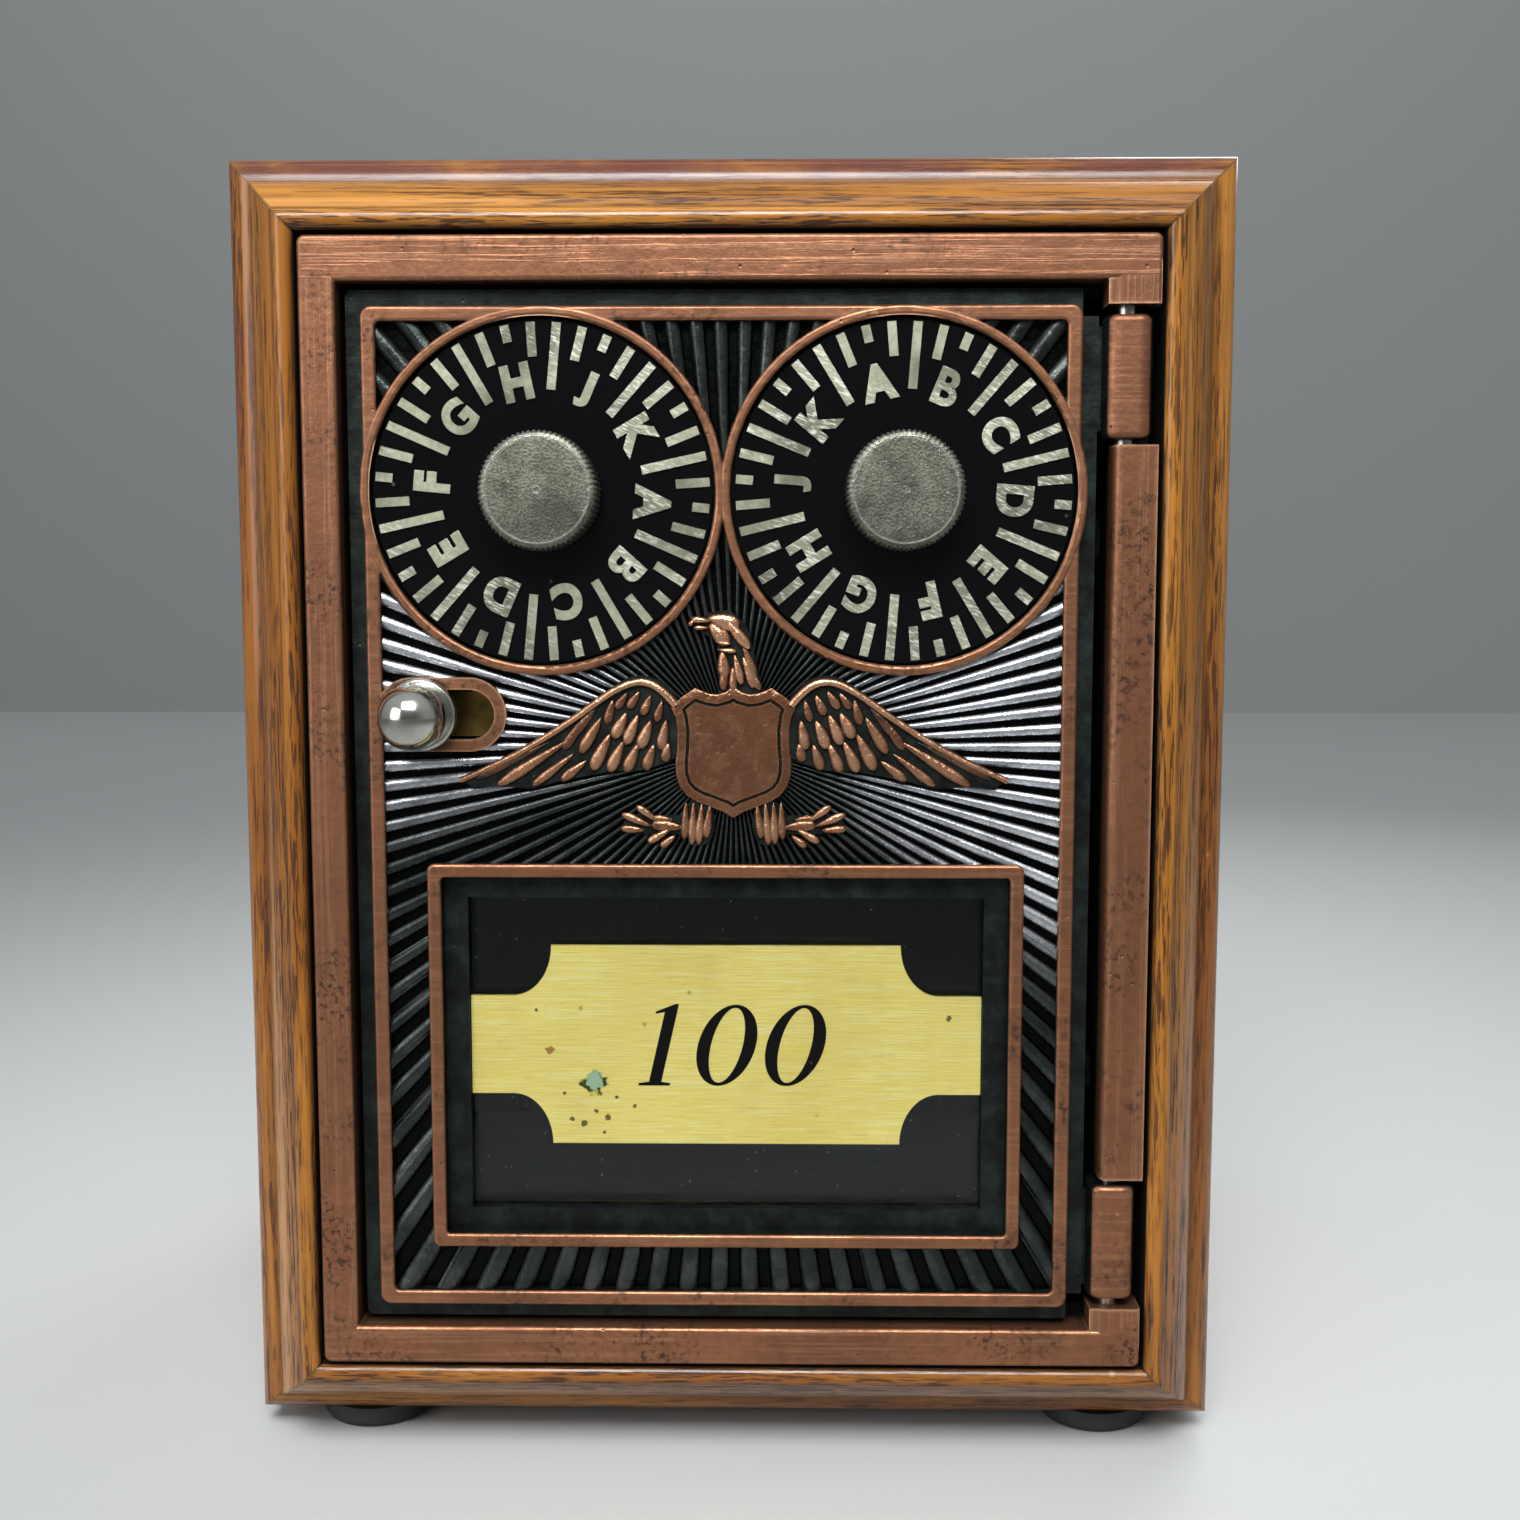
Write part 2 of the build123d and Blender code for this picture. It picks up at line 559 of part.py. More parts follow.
def bezel(x):
    """The raised ring around a dial."""
    with BuildPart(mode=Mode.PRIVATE) as ring:
        disc(x, DIAL_Z, DIAL_R + DIAL_FIT + BEZEL_W, BEZEL_DEPTH, LEDGE_DEPTH)
        disc(x, DIAL_Z, DIAL_R + DIAL_FIT, BEZEL_DEPTH, LEDGE_DEPTH, Mode.SUBTRACT)
        fillet(ring.faces().sort_by(Axis.Y)[0].edges(), RIM_EDGE_R)
    return ring.part


def knuckle(z_from):
    """A hinge knuckle with its arm back to the edge of the door."""
    with BuildPart(mode=Mode.PRIVATE) as hinge:
        with BuildSketch(level(z_from, PIN_X, PIN_DEPTH)) as section:
            RectangleRounded(KNUCKLE_W, KNUCKLE_W, KNUCKLE_R)
        extrude(section.sketch, amount=KNUCKLE_LEN)
        ends = hinge.faces().filter_by(Axis.Z)
        fillet(ends.edges(), KNUCKLE_EDGE_R)
        block(DOOR_RIGHT - LEDGE_W, PIN_X, z_from + ARM_INSET, z_from + KNUCKLE_LEN - ARM_INSET,
              DOOR_BACK - ARM_DEPTH, DOOR_BACK)
        with BuildSketch(level(z_from, PIN_X, PIN_DEPTH)) as bore:
            Circle(PIN_R + PIN_FIT)
        extrude(bore.sketch, amount=KNUCKLE_LEN, mode=Mode.SUBTRACT)
    return hinge.part


def sunburst():
    """Ribs that spread from behind the emblem to the border."""
    reach = hypot(FRAME_W, FRAME_H)
    half = radians(180 / RIB_COUNT * RIB_SHARE)
    with BuildPart(mode=Mode.PRIVATE) as ribs:
        with BuildSketch(front(FLOOR_DEPTH - RIB_RISE)) as rays:
            with Locations((BURST_X, BURST_Z)):
                with PolarLocations(0, RIB_COUNT):
                    Polygon((RIB_START * cos(half), -RIB_START * sin(half)),
                            (reach * cos(half), -reach * sin(half)),
                            (reach * cos(half), reach * sin(half)),
                            (RIB_START * cos(half), RIB_START * sin(half)), align=None)
        extrude(rays.sketch, amount=-(RIB_RISE + ROOT))
        block(BORDER_LEFT + BORDER_W / 2, BORDER_RIGHT - BORDER_W / 2, BORDER_BOTTOM + BORDER_W / 2,
              BORDER_TOP - BORDER_W / 2, 0, DOOR_BACK, Mode.INTERSECT)
    return ribs.part


def emblem():
    """A spread eagle with a bare shield, in low relief."""
    wing_top = [(5.6, 11.5), (7.4, 14.3), (10.2, 15.2), (13.4, 13.7), (17.0, 11.0), (21.5, 8.2),
                (26.0, 5.8), (29.4, 4.1)]
    wing_under = [(29.4, 4.1), (28.2, 3.1), (25.0, 3.2), (21.6, 3.0), (18.4, 3.9), (13.0, 4.9),
                  (9.4, 5.0), (5.6, 6.6), (5.6, 11.5)]
    shield_side = [(0, 0.1), (5.0, 2.4), (5.9, 4.6), (5.9, 9.0), (6.5, 12.0), (4.0, 13.8),
                   (2.2, 13.1), (0, 14.0)]
    neck = [(-1.6, 13.2), (-0.9, 16.6), (-1.6, 18.8), (-4.6, 20.5), (-2.6, 21.9), (-0.4, 22.2),
            (1.4, 20.6), (2.2, 17.6), (3.2, 13.2)]
    with BuildPart(mode=Mode.PRIVATE) as relief:
        with BuildSketch(front(FLOOR_DEPTH - EMBLEM_RISE)) as outline:
            with Locations((BURST_X, 0)):
                Polygon(*neck, align=None)
                with Locations((-3.7, -0.7), (3.7, -0.7)):
                    Ellipse(1.7, 2.5)
                with Locations((-8.4, -0.9), (8.4, -0.9)):
                    SlotOverall(7.0, 2.0)
            with BuildLine():
                Spline(*[(BURST_X + x, z) for x, z in wing_top])
                Polyline(*[(BURST_X + x, z) for x, z in wing_under])
            make_face()
            with BuildLine():
                Spline(*[(BURST_X - x, z) for x, z in wing_top])
                Polyline(*[(BURST_X - x, z) for x, z in wing_under])
            make_face()
            with BuildLine():
                Polyline(*[(BURST_X + x, z) for x, z in shield_side],
                         *[(BURST_X - x, z) for x, z in shield_side[-2:0:-1]], close=True)
            make_face()
        extrude(outline.sketch, amount=-(EMBLEM_RISE + ROOT))
    return relief.part


LATCH_HALF_H = LATCH_SLOT_H / 2
LATCH_SLOT_LEFT = LATCH_X - THROW - STEM_R - STEM_FIT
BORDER_X = (BORDER_LEFT + BORDER_RIGHT) / 2
BORDER_Z = (BORDER_TOP + BORDER_BOTTOM) / 2
GLASS_HALF_W = SIGHT_W / 2 + GLASS_LAP
GLASS_HALF_H = SIGHT_H / 2 + GLASS_LAP


def latch_slot(x0, x1, half_h, d0, d1, mode=Mode.ADD):
    """A level slot with round ends, or the boss around one."""
    with BuildSketch(front(d0)) as outline:
        with Locations(((x0 + x1) / 2, LATCH_Z)):
            SlotOverall(x1 - x0, 2 * half_h)
    extrude(outline.sketch, amount=-(d1 - d0), mode=mode)


with BuildPart() as door:
    block(DOOR_LEFT, DOOR_RIGHT, DOOR_BOTTOM, DOOR_TOP, LEDGE_DEPTH, DOOR_BACK,
          corner=DOOR_CORNER_R)
    block(BORDER_LEFT + FLOOR_LAP, BORDER_RIGHT - FLOOR_LAP, BORDER_BOTTOM + FLOOR_LAP,
          BORDER_TOP - FLOOR_LAP, FLOOR_DEPTH, LEDGE_DEPTH)
    notch = BORDER_RIGHT + ARM_FIT
    block(notch, DOOR_RIGHT + OVER, UPPER_KNUCKLE_TOP, DOOR_TOP + OVER, 0, DOOR_BACK, Mode.SUBTRACT)
    block(notch, DOOR_RIGHT + OVER, DOOR_BOTTOM - OVER, LOWER_KNUCKLE_BOTTOM, 0, DOOR_BACK,
          Mode.SUBTRACT)
    add(sunburst())
    add(emblem())
    add(raised_rim(BORDER_RIGHT - BORDER_LEFT, BORDER_TOP - BORDER_BOTTOM, BORDER_W, BORDER_X,
                   BORDER_Z, BORDER_DEPTH, LEDGE_DEPTH, BORDER_CORNER_R))
    half_w = (WINDOW_W - WINDOW_RIM_W) / 2
    half_h = (WINDOW_H - WINDOW_RIM_W) / 2
    block(WINDOW_X - half_w, WINDOW_X + half_w, WINDOW_Z - half_h, WINDOW_Z + half_h, 0,
          LEDGE_DEPTH, Mode.SUBTRACT)
    add(raised_rim(WINDOW_W, WINDOW_H, WINDOW_RIM_W, WINDOW_X, WINDOW_Z, WINDOW_RIM_DEPTH,
                   DOOR_BACK, WINDOW_CORNER_R))
    latch_slot(BORDER_LEFT + BORDER_W / 2, LATCH_SLOT_END + LATCH_RIM_W,
               LATCH_HALF_H + LATCH_RIM_W, LATCH_RIM_DEPTH, DOOR_BACK)
    for x, turn in DIALS.values():
        add(bezel(x))
    for x, turn in DIALS.values():
        disc(x, DIAL_Z, DIAL_R + DIAL_FIT, 0, POCKET_DEPTH, Mode.SUBTRACT)
        disc(x, DIAL_Z, BUSH_R, 0, DOOR_BACK, Mode.SUBTRACT)
    block(WINDOW_X - SIGHT_W / 2, WINDOW_X + SIGHT_W / 2, WINDOW_Z - SIGHT_H / 2,
          WINDOW_Z + SIGHT_H / 2, 0, DOOR_BACK, Mode.SUBTRACT)
    block(WINDOW_X - GLASS_HALF_W, WINDOW_X + GLASS_HALF_W, WINDOW_Z - GLASS_HALF_H,
          WINDOW_Z + GLASS_HALF_H, DOOR_BACK - GLASS_T, DOOR_BACK, Mode.SUBTRACT)
    add(knuckle(UPPER_KNUCKLE_BOTTOM))
    add(knuckle(LOWER_KNUCKLE_BOTTOM))
    for way in (-1, 1):
        inner = LATCH_Z + way * (BOLT_H / 2 + GUIDE_FIT)
        outer = inner + way * RAIL_W
        block(DOOR_LEFT + RAIL_INSET, LATCH_SLOT_END, min(inner, outer), max(inner, outer), DOOR_BACK,
              BOLT_BACK)
    latch_slot(LATCH_SLOT_LEFT, LATCH_SLOT_END, LATCH_HALF_H, 0, DOOR_BACK, Mode.SUBTRACT)
    for x, z in WINDOW_SCREWS + PILLARS:
        disc(x, z, SCREW_R, DOOR_BACK - SCREW_BITE, DOOR_BACK, Mode.SUBTRACT)
    for x in GUIDE_XS:
        for z in GUIDE_SCREW_ZS:
            disc(x, z, SCREW_R, DOOR_BACK - SCREW_BITE, DOOR_BACK, Mode.SUBTRACT)
save(door, "door")


# ---------------------------------------------------------------- window
with BuildPart() as window_glass:
    half_w = GLASS_HALF_W - GLASS_FIT
    half_h = GLASS_HALF_H - GLASS_FIT
    block(WINDOW_X - half_w, WINDOW_X + half_w, WINDOW_Z - half_h, WINDOW_Z + half_h,
          DOOR_BACK - GLASS_T, DOOR_BACK)
save(window_glass, "window_glass")

with BuildPart() as number_plate:
    with BuildSketch(front(DOOR_BACK - GLASS_T - PLATE_T)):
        with Locations((WINDOW_X, PLATE_Z)):
            Rectangle(PLATE_W - 2 * PLATE_END_W, PLATE_H)
            Rectangle(PLATE_W - 2 * (PLATE_END_W - PLATE_NOTCH), PLATE_TAB_H)
            Rectangle(PLATE_W, PLATE_TAB_H)
            shoulder_z = (PLATE_H - PLATE_TAB_H) / 2
            for sx in (-1, 1):
                for sz in (-1, 1):
                    with Locations((sx * (PLATE_W / 2 - PLATE_END_W + PLATE_NOTCH / 2),
                                    sz * (PLATE_TAB_H + shoulder_z) / 2)):
                        Rectangle(PLATE_NOTCH, shoulder_z)
                    with Locations((sx * (PLATE_W / 2 - PLATE_END_W + PLATE_NOTCH),
                                    sz * PLATE_H / 2)):
                        Ellipse(PLATE_NOTCH, shoulder_z, mode=Mode.SUBTRACT)
    extrude(amount=-PLATE_T)
save(number_plate, "number_plate")

with BuildPart() as glass_retainer:
    half_w = SIGHT_W / 2 + RETAINER_LAP
    half_h = SIGHT_H / 2 + RETAINER_LAP
    block(WINDOW_X - half_w, WINDOW_X + half_w, WINDOW_Z - half_h, WINDOW_Z + half_h,
          DOOR_BACK, DOOR_BACK + RETAINER_T, corner=RETAINER_CORNER_R)
    half_w = SIGHT_W / 2 + RETAINER_FIT
    half_h = SIGHT_H / 2 + RETAINER_FIT
    block(WINDOW_X - half_w, WINDOW_X + half_w, WINDOW_Z - half_h, WINDOW_Z + half_h,
          DOOR_BACK, DOOR_BACK + RETAINER_T, Mode.SUBTRACT, RETAINER_INNER_R)
    for x, z in WINDOW_SCREWS:
        disc(x, z, SCREW_R, DOOR_BACK, DOOR_BACK + RETAINER_T, Mode.SUBTRACT)
save(glass_retainer, "glass_retainer")


def small_screws(places, d_seat, bite):
    """Cheese-headed screws seen from the back of the door, heads on d_seat."""
    for x, z in places:
        disc(x, z, SCREW_R, d_seat - bite, d_seat)
        disc(x, z, SCREW_HEAD_R, d_seat, d_seat + SCREW_HEAD_H)
        top = d_seat + SCREW_HEAD_H
        block(x - SCREW_HEAD_R, x + SCREW_HEAD_R, z - SCREW_SLOT_W / 2, z + SCREW_SLOT_W / 2,
              top - SCREW_SLOT_H, top, Mode.SUBTRACT)


with BuildPart() as retainer_screws:
    small_screws(WINDOW_SCREWS, DOOR_BACK + RETAINER_T, RETAINER_T + SCREW_BITE)
save(retainer_screws, "retainer_screws")


# ---------------------------------------------------------------- dials
def marks(x, turn):
    """Marks around the edge of a dial: long between letters, then half, short, half."""
    lengths = (MARK_LONG, MARK_MID, MARK_SHORT, MARK_MID)
    outer = DIAL_R - MARK_EDGE
    with BuildSketch(front(DIAL_FACE - MARK_RISE)) as ring:
        with Locations((x, DIAL_Z)):
            for start in range(len(lengths)):
                length = lengths[start]
                first = 90 - turn - start * 360 / MARK_COUNT
                with PolarLocations(outer - length / 2, MARK_COUNT // len(lengths), first):
                    Rectangle(length, MARK_W)
    extrude(ring.sketch, amount=-MARK_RISE)


def hexagon(x, z, r, d0, d1):
    """A hexagon nut or flange, r across its corners."""
    with BuildSketch(front(d0)) as outline:
        with Locations((x, z)):
            RegularPolygon(r, 6)
    extrude(outline.sketch, amount=-(d1 - d0))


for side, (x, turn) in DIALS.items():
    with BuildPart() as dial:
        disc(x, DIAL_Z, DIAL_R, DIAL_FACE, DIAL_FACE + DIAL_T)
        marks(x, turn)
        disc(x, DIAL_Z, SPINDLE_R, 0, DOOR_BACK, Mode.SUBTRACT)
    save(dial, side + "_dial")

    with BuildPart() as knob:
        disc(x, DIAL_Z, KNOB_R, DIAL_FACE - KNOB_H, DIAL_FACE)
        with BuildSketch(front(DIAL_FACE - KNOB_H)):
            with Locations((x, DIAL_Z)):
                with PolarLocations(KNOB_R + KNURL_SET, KNURL_COUNT):
                    Circle(KNURL_R)
        extrude(amount=-KNOB_H, mode=Mode.SUBTRACT)
        disc(x, DIAL_Z, KNOB_R + KNURL_R, DIAL_FACE - KNOB_H, DIAL_FACE - KNOB_H + KNOB_EDGE,
             Mode.SUBTRACT)
        disc(x, DIAL_Z, KNOB_R - KNOB_EDGE, DIAL_FACE - KNOB_H, DIAL_FACE - KNOB_H + KNOB_EDGE)
        disc(x, DIAL_Z, SPINDLE_R, DIAL_FACE - KNOB_H + KNOB_FACE_T, DIAL_FACE, Mode.SUBTRACT)
    save(knob, side + "_knob")

    with BuildPart() as spindle:
        disc(x, DIAL_Z, SPINDLE_R, DIAL_FACE - KNOB_H + KNOB_FACE_T, SPINDLE_END)
    save(spindle, side + "_spindle")

    with BuildPart() as bush:
        disc(x, DIAL_Z, BUSH_R, POCKET_DEPTH, DOOR_BACK)
        hexagon(x, DIAL_Z, BUSH_FLANGE_R, DOOR_BACK, BUSH_BACK)
        disc(x, DIAL_Z, SPINDLE_R + SPINDLE_FIT, POCKET_DEPTH, BUSH_BACK, Mode.SUBTRACT)
    save(bush, side + "_bush")

    with BuildPart() as tumbler:
        disc(x, DIAL_Z, TUMBLER_R, TUMBLER_FRONT, TUMBLER_BACK)
        block(x - TUMBLER_R - OVER, x - TUMBLER_R + GATE_H, DIAL_Z - GATE_W / 2, DIAL_Z + GATE_W / 2,
              TUMBLER_FRONT, TUMBLER_BACK, Mode.SUBTRACT)
        disc(x, DIAL_Z, BUSH_R, BUSH_BACK + DIAL_LIFT, TUMBLER_FRONT)
        disc(x, DIAL_Z, SPINDLE_R, BUSH_BACK, TUMBLER_BACK, Mode.SUBTRACT)
    save(tumbler, side + "_tumbler")

    with BuildPart() as nut:
        hexagon(x, DIAL_Z, NUT_R, TUMBLER_BACK, TUMBLER_BACK + NUT_T)
        disc(x, DIAL_Z, SPINDLE_R, TUMBLER_BACK, TUMBLER_BACK + NUT_T, Mode.SUBTRACT)
    save(nut, side + "_nut")


# ---------------------------------------------------------------- latch
RIVETS = [(x, LATCH_Z) for x in RIVET_XS]
LEFT_FINGER_TIP = DIAL_X_LEFT - TUMBLER_R - FENCE_CLEAR - DRAW
RIGHT_FINGER_TIP = DIAL_X_RIGHT - TUMBLER_R - FENCE_CLEAR - DRAW

with BuildPart() as latch_bolt:
    block(TIP_X, BOLT_TAIL, LATCH_Z - BOLT_H / 2, LATCH_Z + BOLT_H / 2, BOLT_FRONT, BOLT_BACK)
    tip_edges = latch_bolt.faces().sort_by(Axis.X)[0].edges().filter_by(Axis.Z)
    chamfer(tip_edges.sort_by(Axis.Y)[0], BOLT_BEVEL)
    disc(LATCH_X, LATCH_Z, STEM_R, BOLT_FRONT, BOLT_BACK, Mode.SUBTRACT)
    for x, z in RIVETS:
        disc(x, z, RIVET_R, BOLT_FRONT, BOLT_BACK, Mode.SUBTRACT)
save(latch_bolt, "latch_bolt")

with BuildPart() as latch_fence:
    fence_back = FENCE_FRONT + FENCE_T
    arm_left = LEFT_FINGER_TIP - FINGER_NOSE - FINGER_W
    bar_bottom = LATCH_Z - FENCE_BAR_H / 2
    bar_top = LATCH_Z + FENCE_BAR_H / 2
    block(arm_left, RIGHT_FINGER_TIP - FINGER_NOSE, bar_bottom, bar_top, FENCE_FRONT, fence_back)
    for tip in (LEFT_FINGER_TIP, RIGHT_FINGER_TIP):
        block(tip - FINGER_NOSE - FINGER_W, tip - FINGER_NOSE, bar_top, DIAL_Z + FINGER_H / 2,
              FENCE_FRONT, fence_back)
        block(tip - FINGER_NOSE, tip, DIAL_Z - FINGER_H / 2, DIAL_Z + FINGER_H / 2,
              FENCE_FRONT, fence_back)
    for x, z in RIVETS:
        disc(x, z, RIVET_R, FENCE_FRONT, fence_back, Mode.SUBTRACT)
save(latch_fence, "latch_fence")

with BuildPart() as fence_rivets:
    for x, z in RIVETS:
        disc(x, z, RIVET_R, BOLT_FRONT, FENCE_FRONT + FENCE_T + RIVET_HEAD_T)
        disc(x, z, RIVET_HEAD_R, BOLT_BACK, FENCE_FRONT)
        disc(x, z, RIVET_HEAD_R, FENCE_FRONT + FENCE_T, FENCE_FRONT + FENCE_T + RIVET_HEAD_T)
save(fence_rivets, "fence_rivets")

with BuildPart() as latch_flange:
    disc(LATCH_X, LATCH_Z, FLANGE_R, FLANGE_BACK - FLANGE_T, FLANGE_BACK)
    fillet(latch_flange.faces().sort_by(Axis.Y)[0].edges(), FLANGE_EDGE_R)
    disc(LATCH_X, LATCH_Z, STEM_R, FLANGE_BACK - FLANGE_T, FLANGE_BACK, Mode.SUBTRACT)
save(latch_flange, "latch_flange")

with BuildPart() as latch_knob:
    with Locations((LATCH_X, FACE_Y + BALL_DEPTH, MID_Z + LATCH_Z)):
        Sphere(BALL_R)
    disc(LATCH_X, LATCH_Z, BALL_R + OVER, FLANGE_BACK - FLANGE_T, 0, Mode.SUBTRACT)
    disc(LATCH_X, LATCH_Z, STEM_R, BALL_DEPTH, BOLT_BACK + STEM_NUT_T)
save(latch_knob, "latch_knob")

with BuildPart() as latch_nut:
    hexagon(LATCH_X, LATCH_Z, STEM_NUT_R, BOLT_BACK, BOLT_BACK + STEM_NUT_T)
    disc(LATCH_X, LATCH_Z, STEM_R, BOLT_BACK, BOLT_BACK + STEM_NUT_T, Mode.SUBTRACT)
save(latch_nut, "latch_nut")

for name, x in zip(("bolt_guide_left", "bolt_guide_right"), GUIDE_XS):
    x0, x1 = x - GUIDE_W / 2, x + GUIDE_W / 2
    gap_half = BOLT_H / 2 + GUIDE_FIT
    bridge_front = BOLT_BACK + GUIDE_FIT
    with BuildPart() as guide:
        block(x0, x1, LATCH_Z - GUIDE_HALF, LATCH_Z + GUIDE_HALF, DOOR_BACK,
              bridge_front + GUIDE_T)
        block(x0, x1, LATCH_Z - GUIDE_HALF - GUIDE_FOOT, LATCH_Z + GUIDE_HALF + GUIDE_FOOT,
              DOOR_BACK, DOOR_BACK + GUIDE_T)
        block(x0, x1, LATCH_Z - gap_half, LATCH_Z + gap_half, DOOR_BACK, bridge_front,
              Mode.SUBTRACT)
        for z in GUIDE_SCREW_ZS:
            disc(x, z, SCREW_R, DOOR_BACK, DOOR_BACK + GUIDE_T, Mode.SUBTRACT)
    save(guide, name)

with BuildPart() as guide_screws:
    small_screws([(x, z) for x in GUIDE_XS for z in GUIDE_SCREW_ZS], DOOR_BACK + GUIDE_T,
                 GUIDE_T + SCREW_BITE)
save(guide_screws, "guide_screws")


# ---------------------------------------------------------------- lock back plate
with BuildPart() as lock_plate:
    block(CAP_LEFT, CAP_RIGHT, CAP_BOTTOM, CAP_TOP, CAP_DEPTH, CAP_DEPTH + CAP_T,
          corner=CAP_CORNER_R)
    for x, z in PILLARS:
        disc(x, z, SCREW_R, CAP_DEPTH, CAP_DEPTH + CAP_T, Mode.SUBTRACT)
save(lock_plate, "lock_plate")

with BuildPart() as lock_pillars:
    for x, z in PILLARS:
        disc(x, z, PILLAR_R, DOOR_BACK, CAP_DEPTH)
        disc(x, z, SCREW_R, DOOR_BACK - SCREW_BITE, DOOR_BACK)
        disc(x, z, SCREW_R, CAP_DEPTH - PILLAR_BORE, CAP_DEPTH, Mode.SUBTRACT)
save(lock_pillars, "lock_pillars")

with BuildPart() as lock_screws:
    small_screws(PILLARS, CAP_DEPTH + CAP_T, CAP_T + PILLAR_BORE)
save(lock_screws, "lock_screws")
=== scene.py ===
import json
from math import atan2, cos, hypot, pi, radians, sin

import bpy
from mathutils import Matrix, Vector


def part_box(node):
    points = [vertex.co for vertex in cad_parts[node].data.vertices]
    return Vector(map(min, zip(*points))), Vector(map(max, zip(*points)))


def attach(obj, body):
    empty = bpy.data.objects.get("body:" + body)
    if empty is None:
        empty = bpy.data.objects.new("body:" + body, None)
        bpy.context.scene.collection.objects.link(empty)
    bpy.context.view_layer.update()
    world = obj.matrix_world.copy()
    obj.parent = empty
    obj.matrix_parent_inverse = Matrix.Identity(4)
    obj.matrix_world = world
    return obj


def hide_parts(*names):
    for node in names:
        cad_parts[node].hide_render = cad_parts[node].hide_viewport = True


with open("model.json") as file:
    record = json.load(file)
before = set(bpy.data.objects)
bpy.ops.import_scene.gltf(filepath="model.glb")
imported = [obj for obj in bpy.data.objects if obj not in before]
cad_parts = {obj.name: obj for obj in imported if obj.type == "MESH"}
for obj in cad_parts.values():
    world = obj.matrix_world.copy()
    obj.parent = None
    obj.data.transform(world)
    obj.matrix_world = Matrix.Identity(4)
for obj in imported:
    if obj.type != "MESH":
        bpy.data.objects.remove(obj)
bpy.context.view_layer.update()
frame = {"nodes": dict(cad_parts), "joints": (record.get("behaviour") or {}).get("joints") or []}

# A post office box door in a small oak coin bank: finishes, raised work and lettering.
# Metres. Helpers that take x, z and depth use millimetres from the middle of the door
# frame, with depth measured back from its face.

MM = 0.001
FRAME_LOW, FRAME_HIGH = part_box("door_frame")
FACE_Y = FRAME_LOW.y
MID_X = (FRAME_LOW.x + FRAME_HIGH.x) / 2
MID_Z = (FRAME_LOW.z + FRAME_HIGH.z) / 2
JOINTS = {joint["name"]: joint for joint in frame["joints"]}

# the sunburst's middle, millimetres
BURST_X = 0.45
BURST_Z = 7.5


def at(x, z, depth):
    """A place on the front, in metres."""
    return Vector((MID_X + x * MM, FACE_Y + depth * MM, MID_Z + z * MM))


# ---------------------------------------------------------------- node helpers
def add(tree, kind, inputs=None, **settings):
    """A node with its settings, its inputs set or linked."""
    node = tree.nodes.new(kind)
    for name, value in settings.items():
        setattr(node, name, value)
    for name, value in (inputs or {}).items():
        socket = node.inputs[name]
        if isinstance(value, bpy.types.NodeSocket):
            tree.links.new(value, socket)
        else:
            socket.default_value = value
    return node


def calc(tree, operation, *values, clamp=False):
    """A Math node's result."""
    inputs = dict(enumerate(values))
    return add(tree, "ShaderNodeMath", inputs, operation=operation, use_clamp=clamp).outputs[0]


def blend_colour(tree, factor, first, second, mode="MIX"):
    """Two colours mixed by a mask."""
    node = add(tree, "ShaderNodeMix", data_type="RGBA", blend_type=mode, clamp_factor=True)
    for index, value in ((0, factor), (6, first), (7, second)):
        if isinstance(value, bpy.types.NodeSocket):
            tree.links.new(value, node.inputs[index])
        elif index == 0:
            node.inputs[0].default_value = value
        else:
            node.inputs[index].default_value = (*value, 1.0)
    return node.outputs[2]


def span(tree, value, low, high, to_low=0.0, to_high=1.0):
    """A value moved smoothly from one range to another, held at its ends."""
    inputs = {"Value": value, 1: low, 2: high, 3: to_low, 4: to_high}
    return add(tree, "ShaderNodeMapRange", inputs, interpolation_type="SMOOTHSTEP").outputs[0]


def new_group(name, inputs, outputs):
    """An empty shader node group with named sockets; returns it, its input and output nodes."""
    tree = bpy.data.node_groups.new(name, "ShaderNodeTree")
    for label, kind, value in inputs:
        socket = tree.interface.new_socket(name=label, in_out="INPUT", socket_type="NodeSocket" + kind)
        if value is not None:
            socket.default_value = value
    for label, kind in outputs:
        tree.interface.new_socket(name=label, in_out="OUTPUT", socket_type="NodeSocket" + kind)
    return tree, tree.nodes.new("NodeGroupInput").outputs, tree.nodes.new("NodeGroupOutput").inputs


def place_group(tree, group, inputs):
    """A node group placed in a tree with its inputs set or linked."""
    node = tree.nodes.new("ShaderNodeGroup")
    node.node_tree = group
    for name, value in inputs.items():
        if isinstance(value, bpy.types.NodeSocket):
            tree.links.new(value, node.inputs[name])
        else:
            node.inputs[name].default_value = value
    return node.outputs


def colour(red, green, blue):
    """A screen colour, 0 to 255, as a linear one."""
    def linear(part):
        share = part / 255
        return share / 12.92 if share <= 0.04045 else ((share + 0.055) / 1.055) ** 2.4
    return linear(red), linear(green), linear(blue)


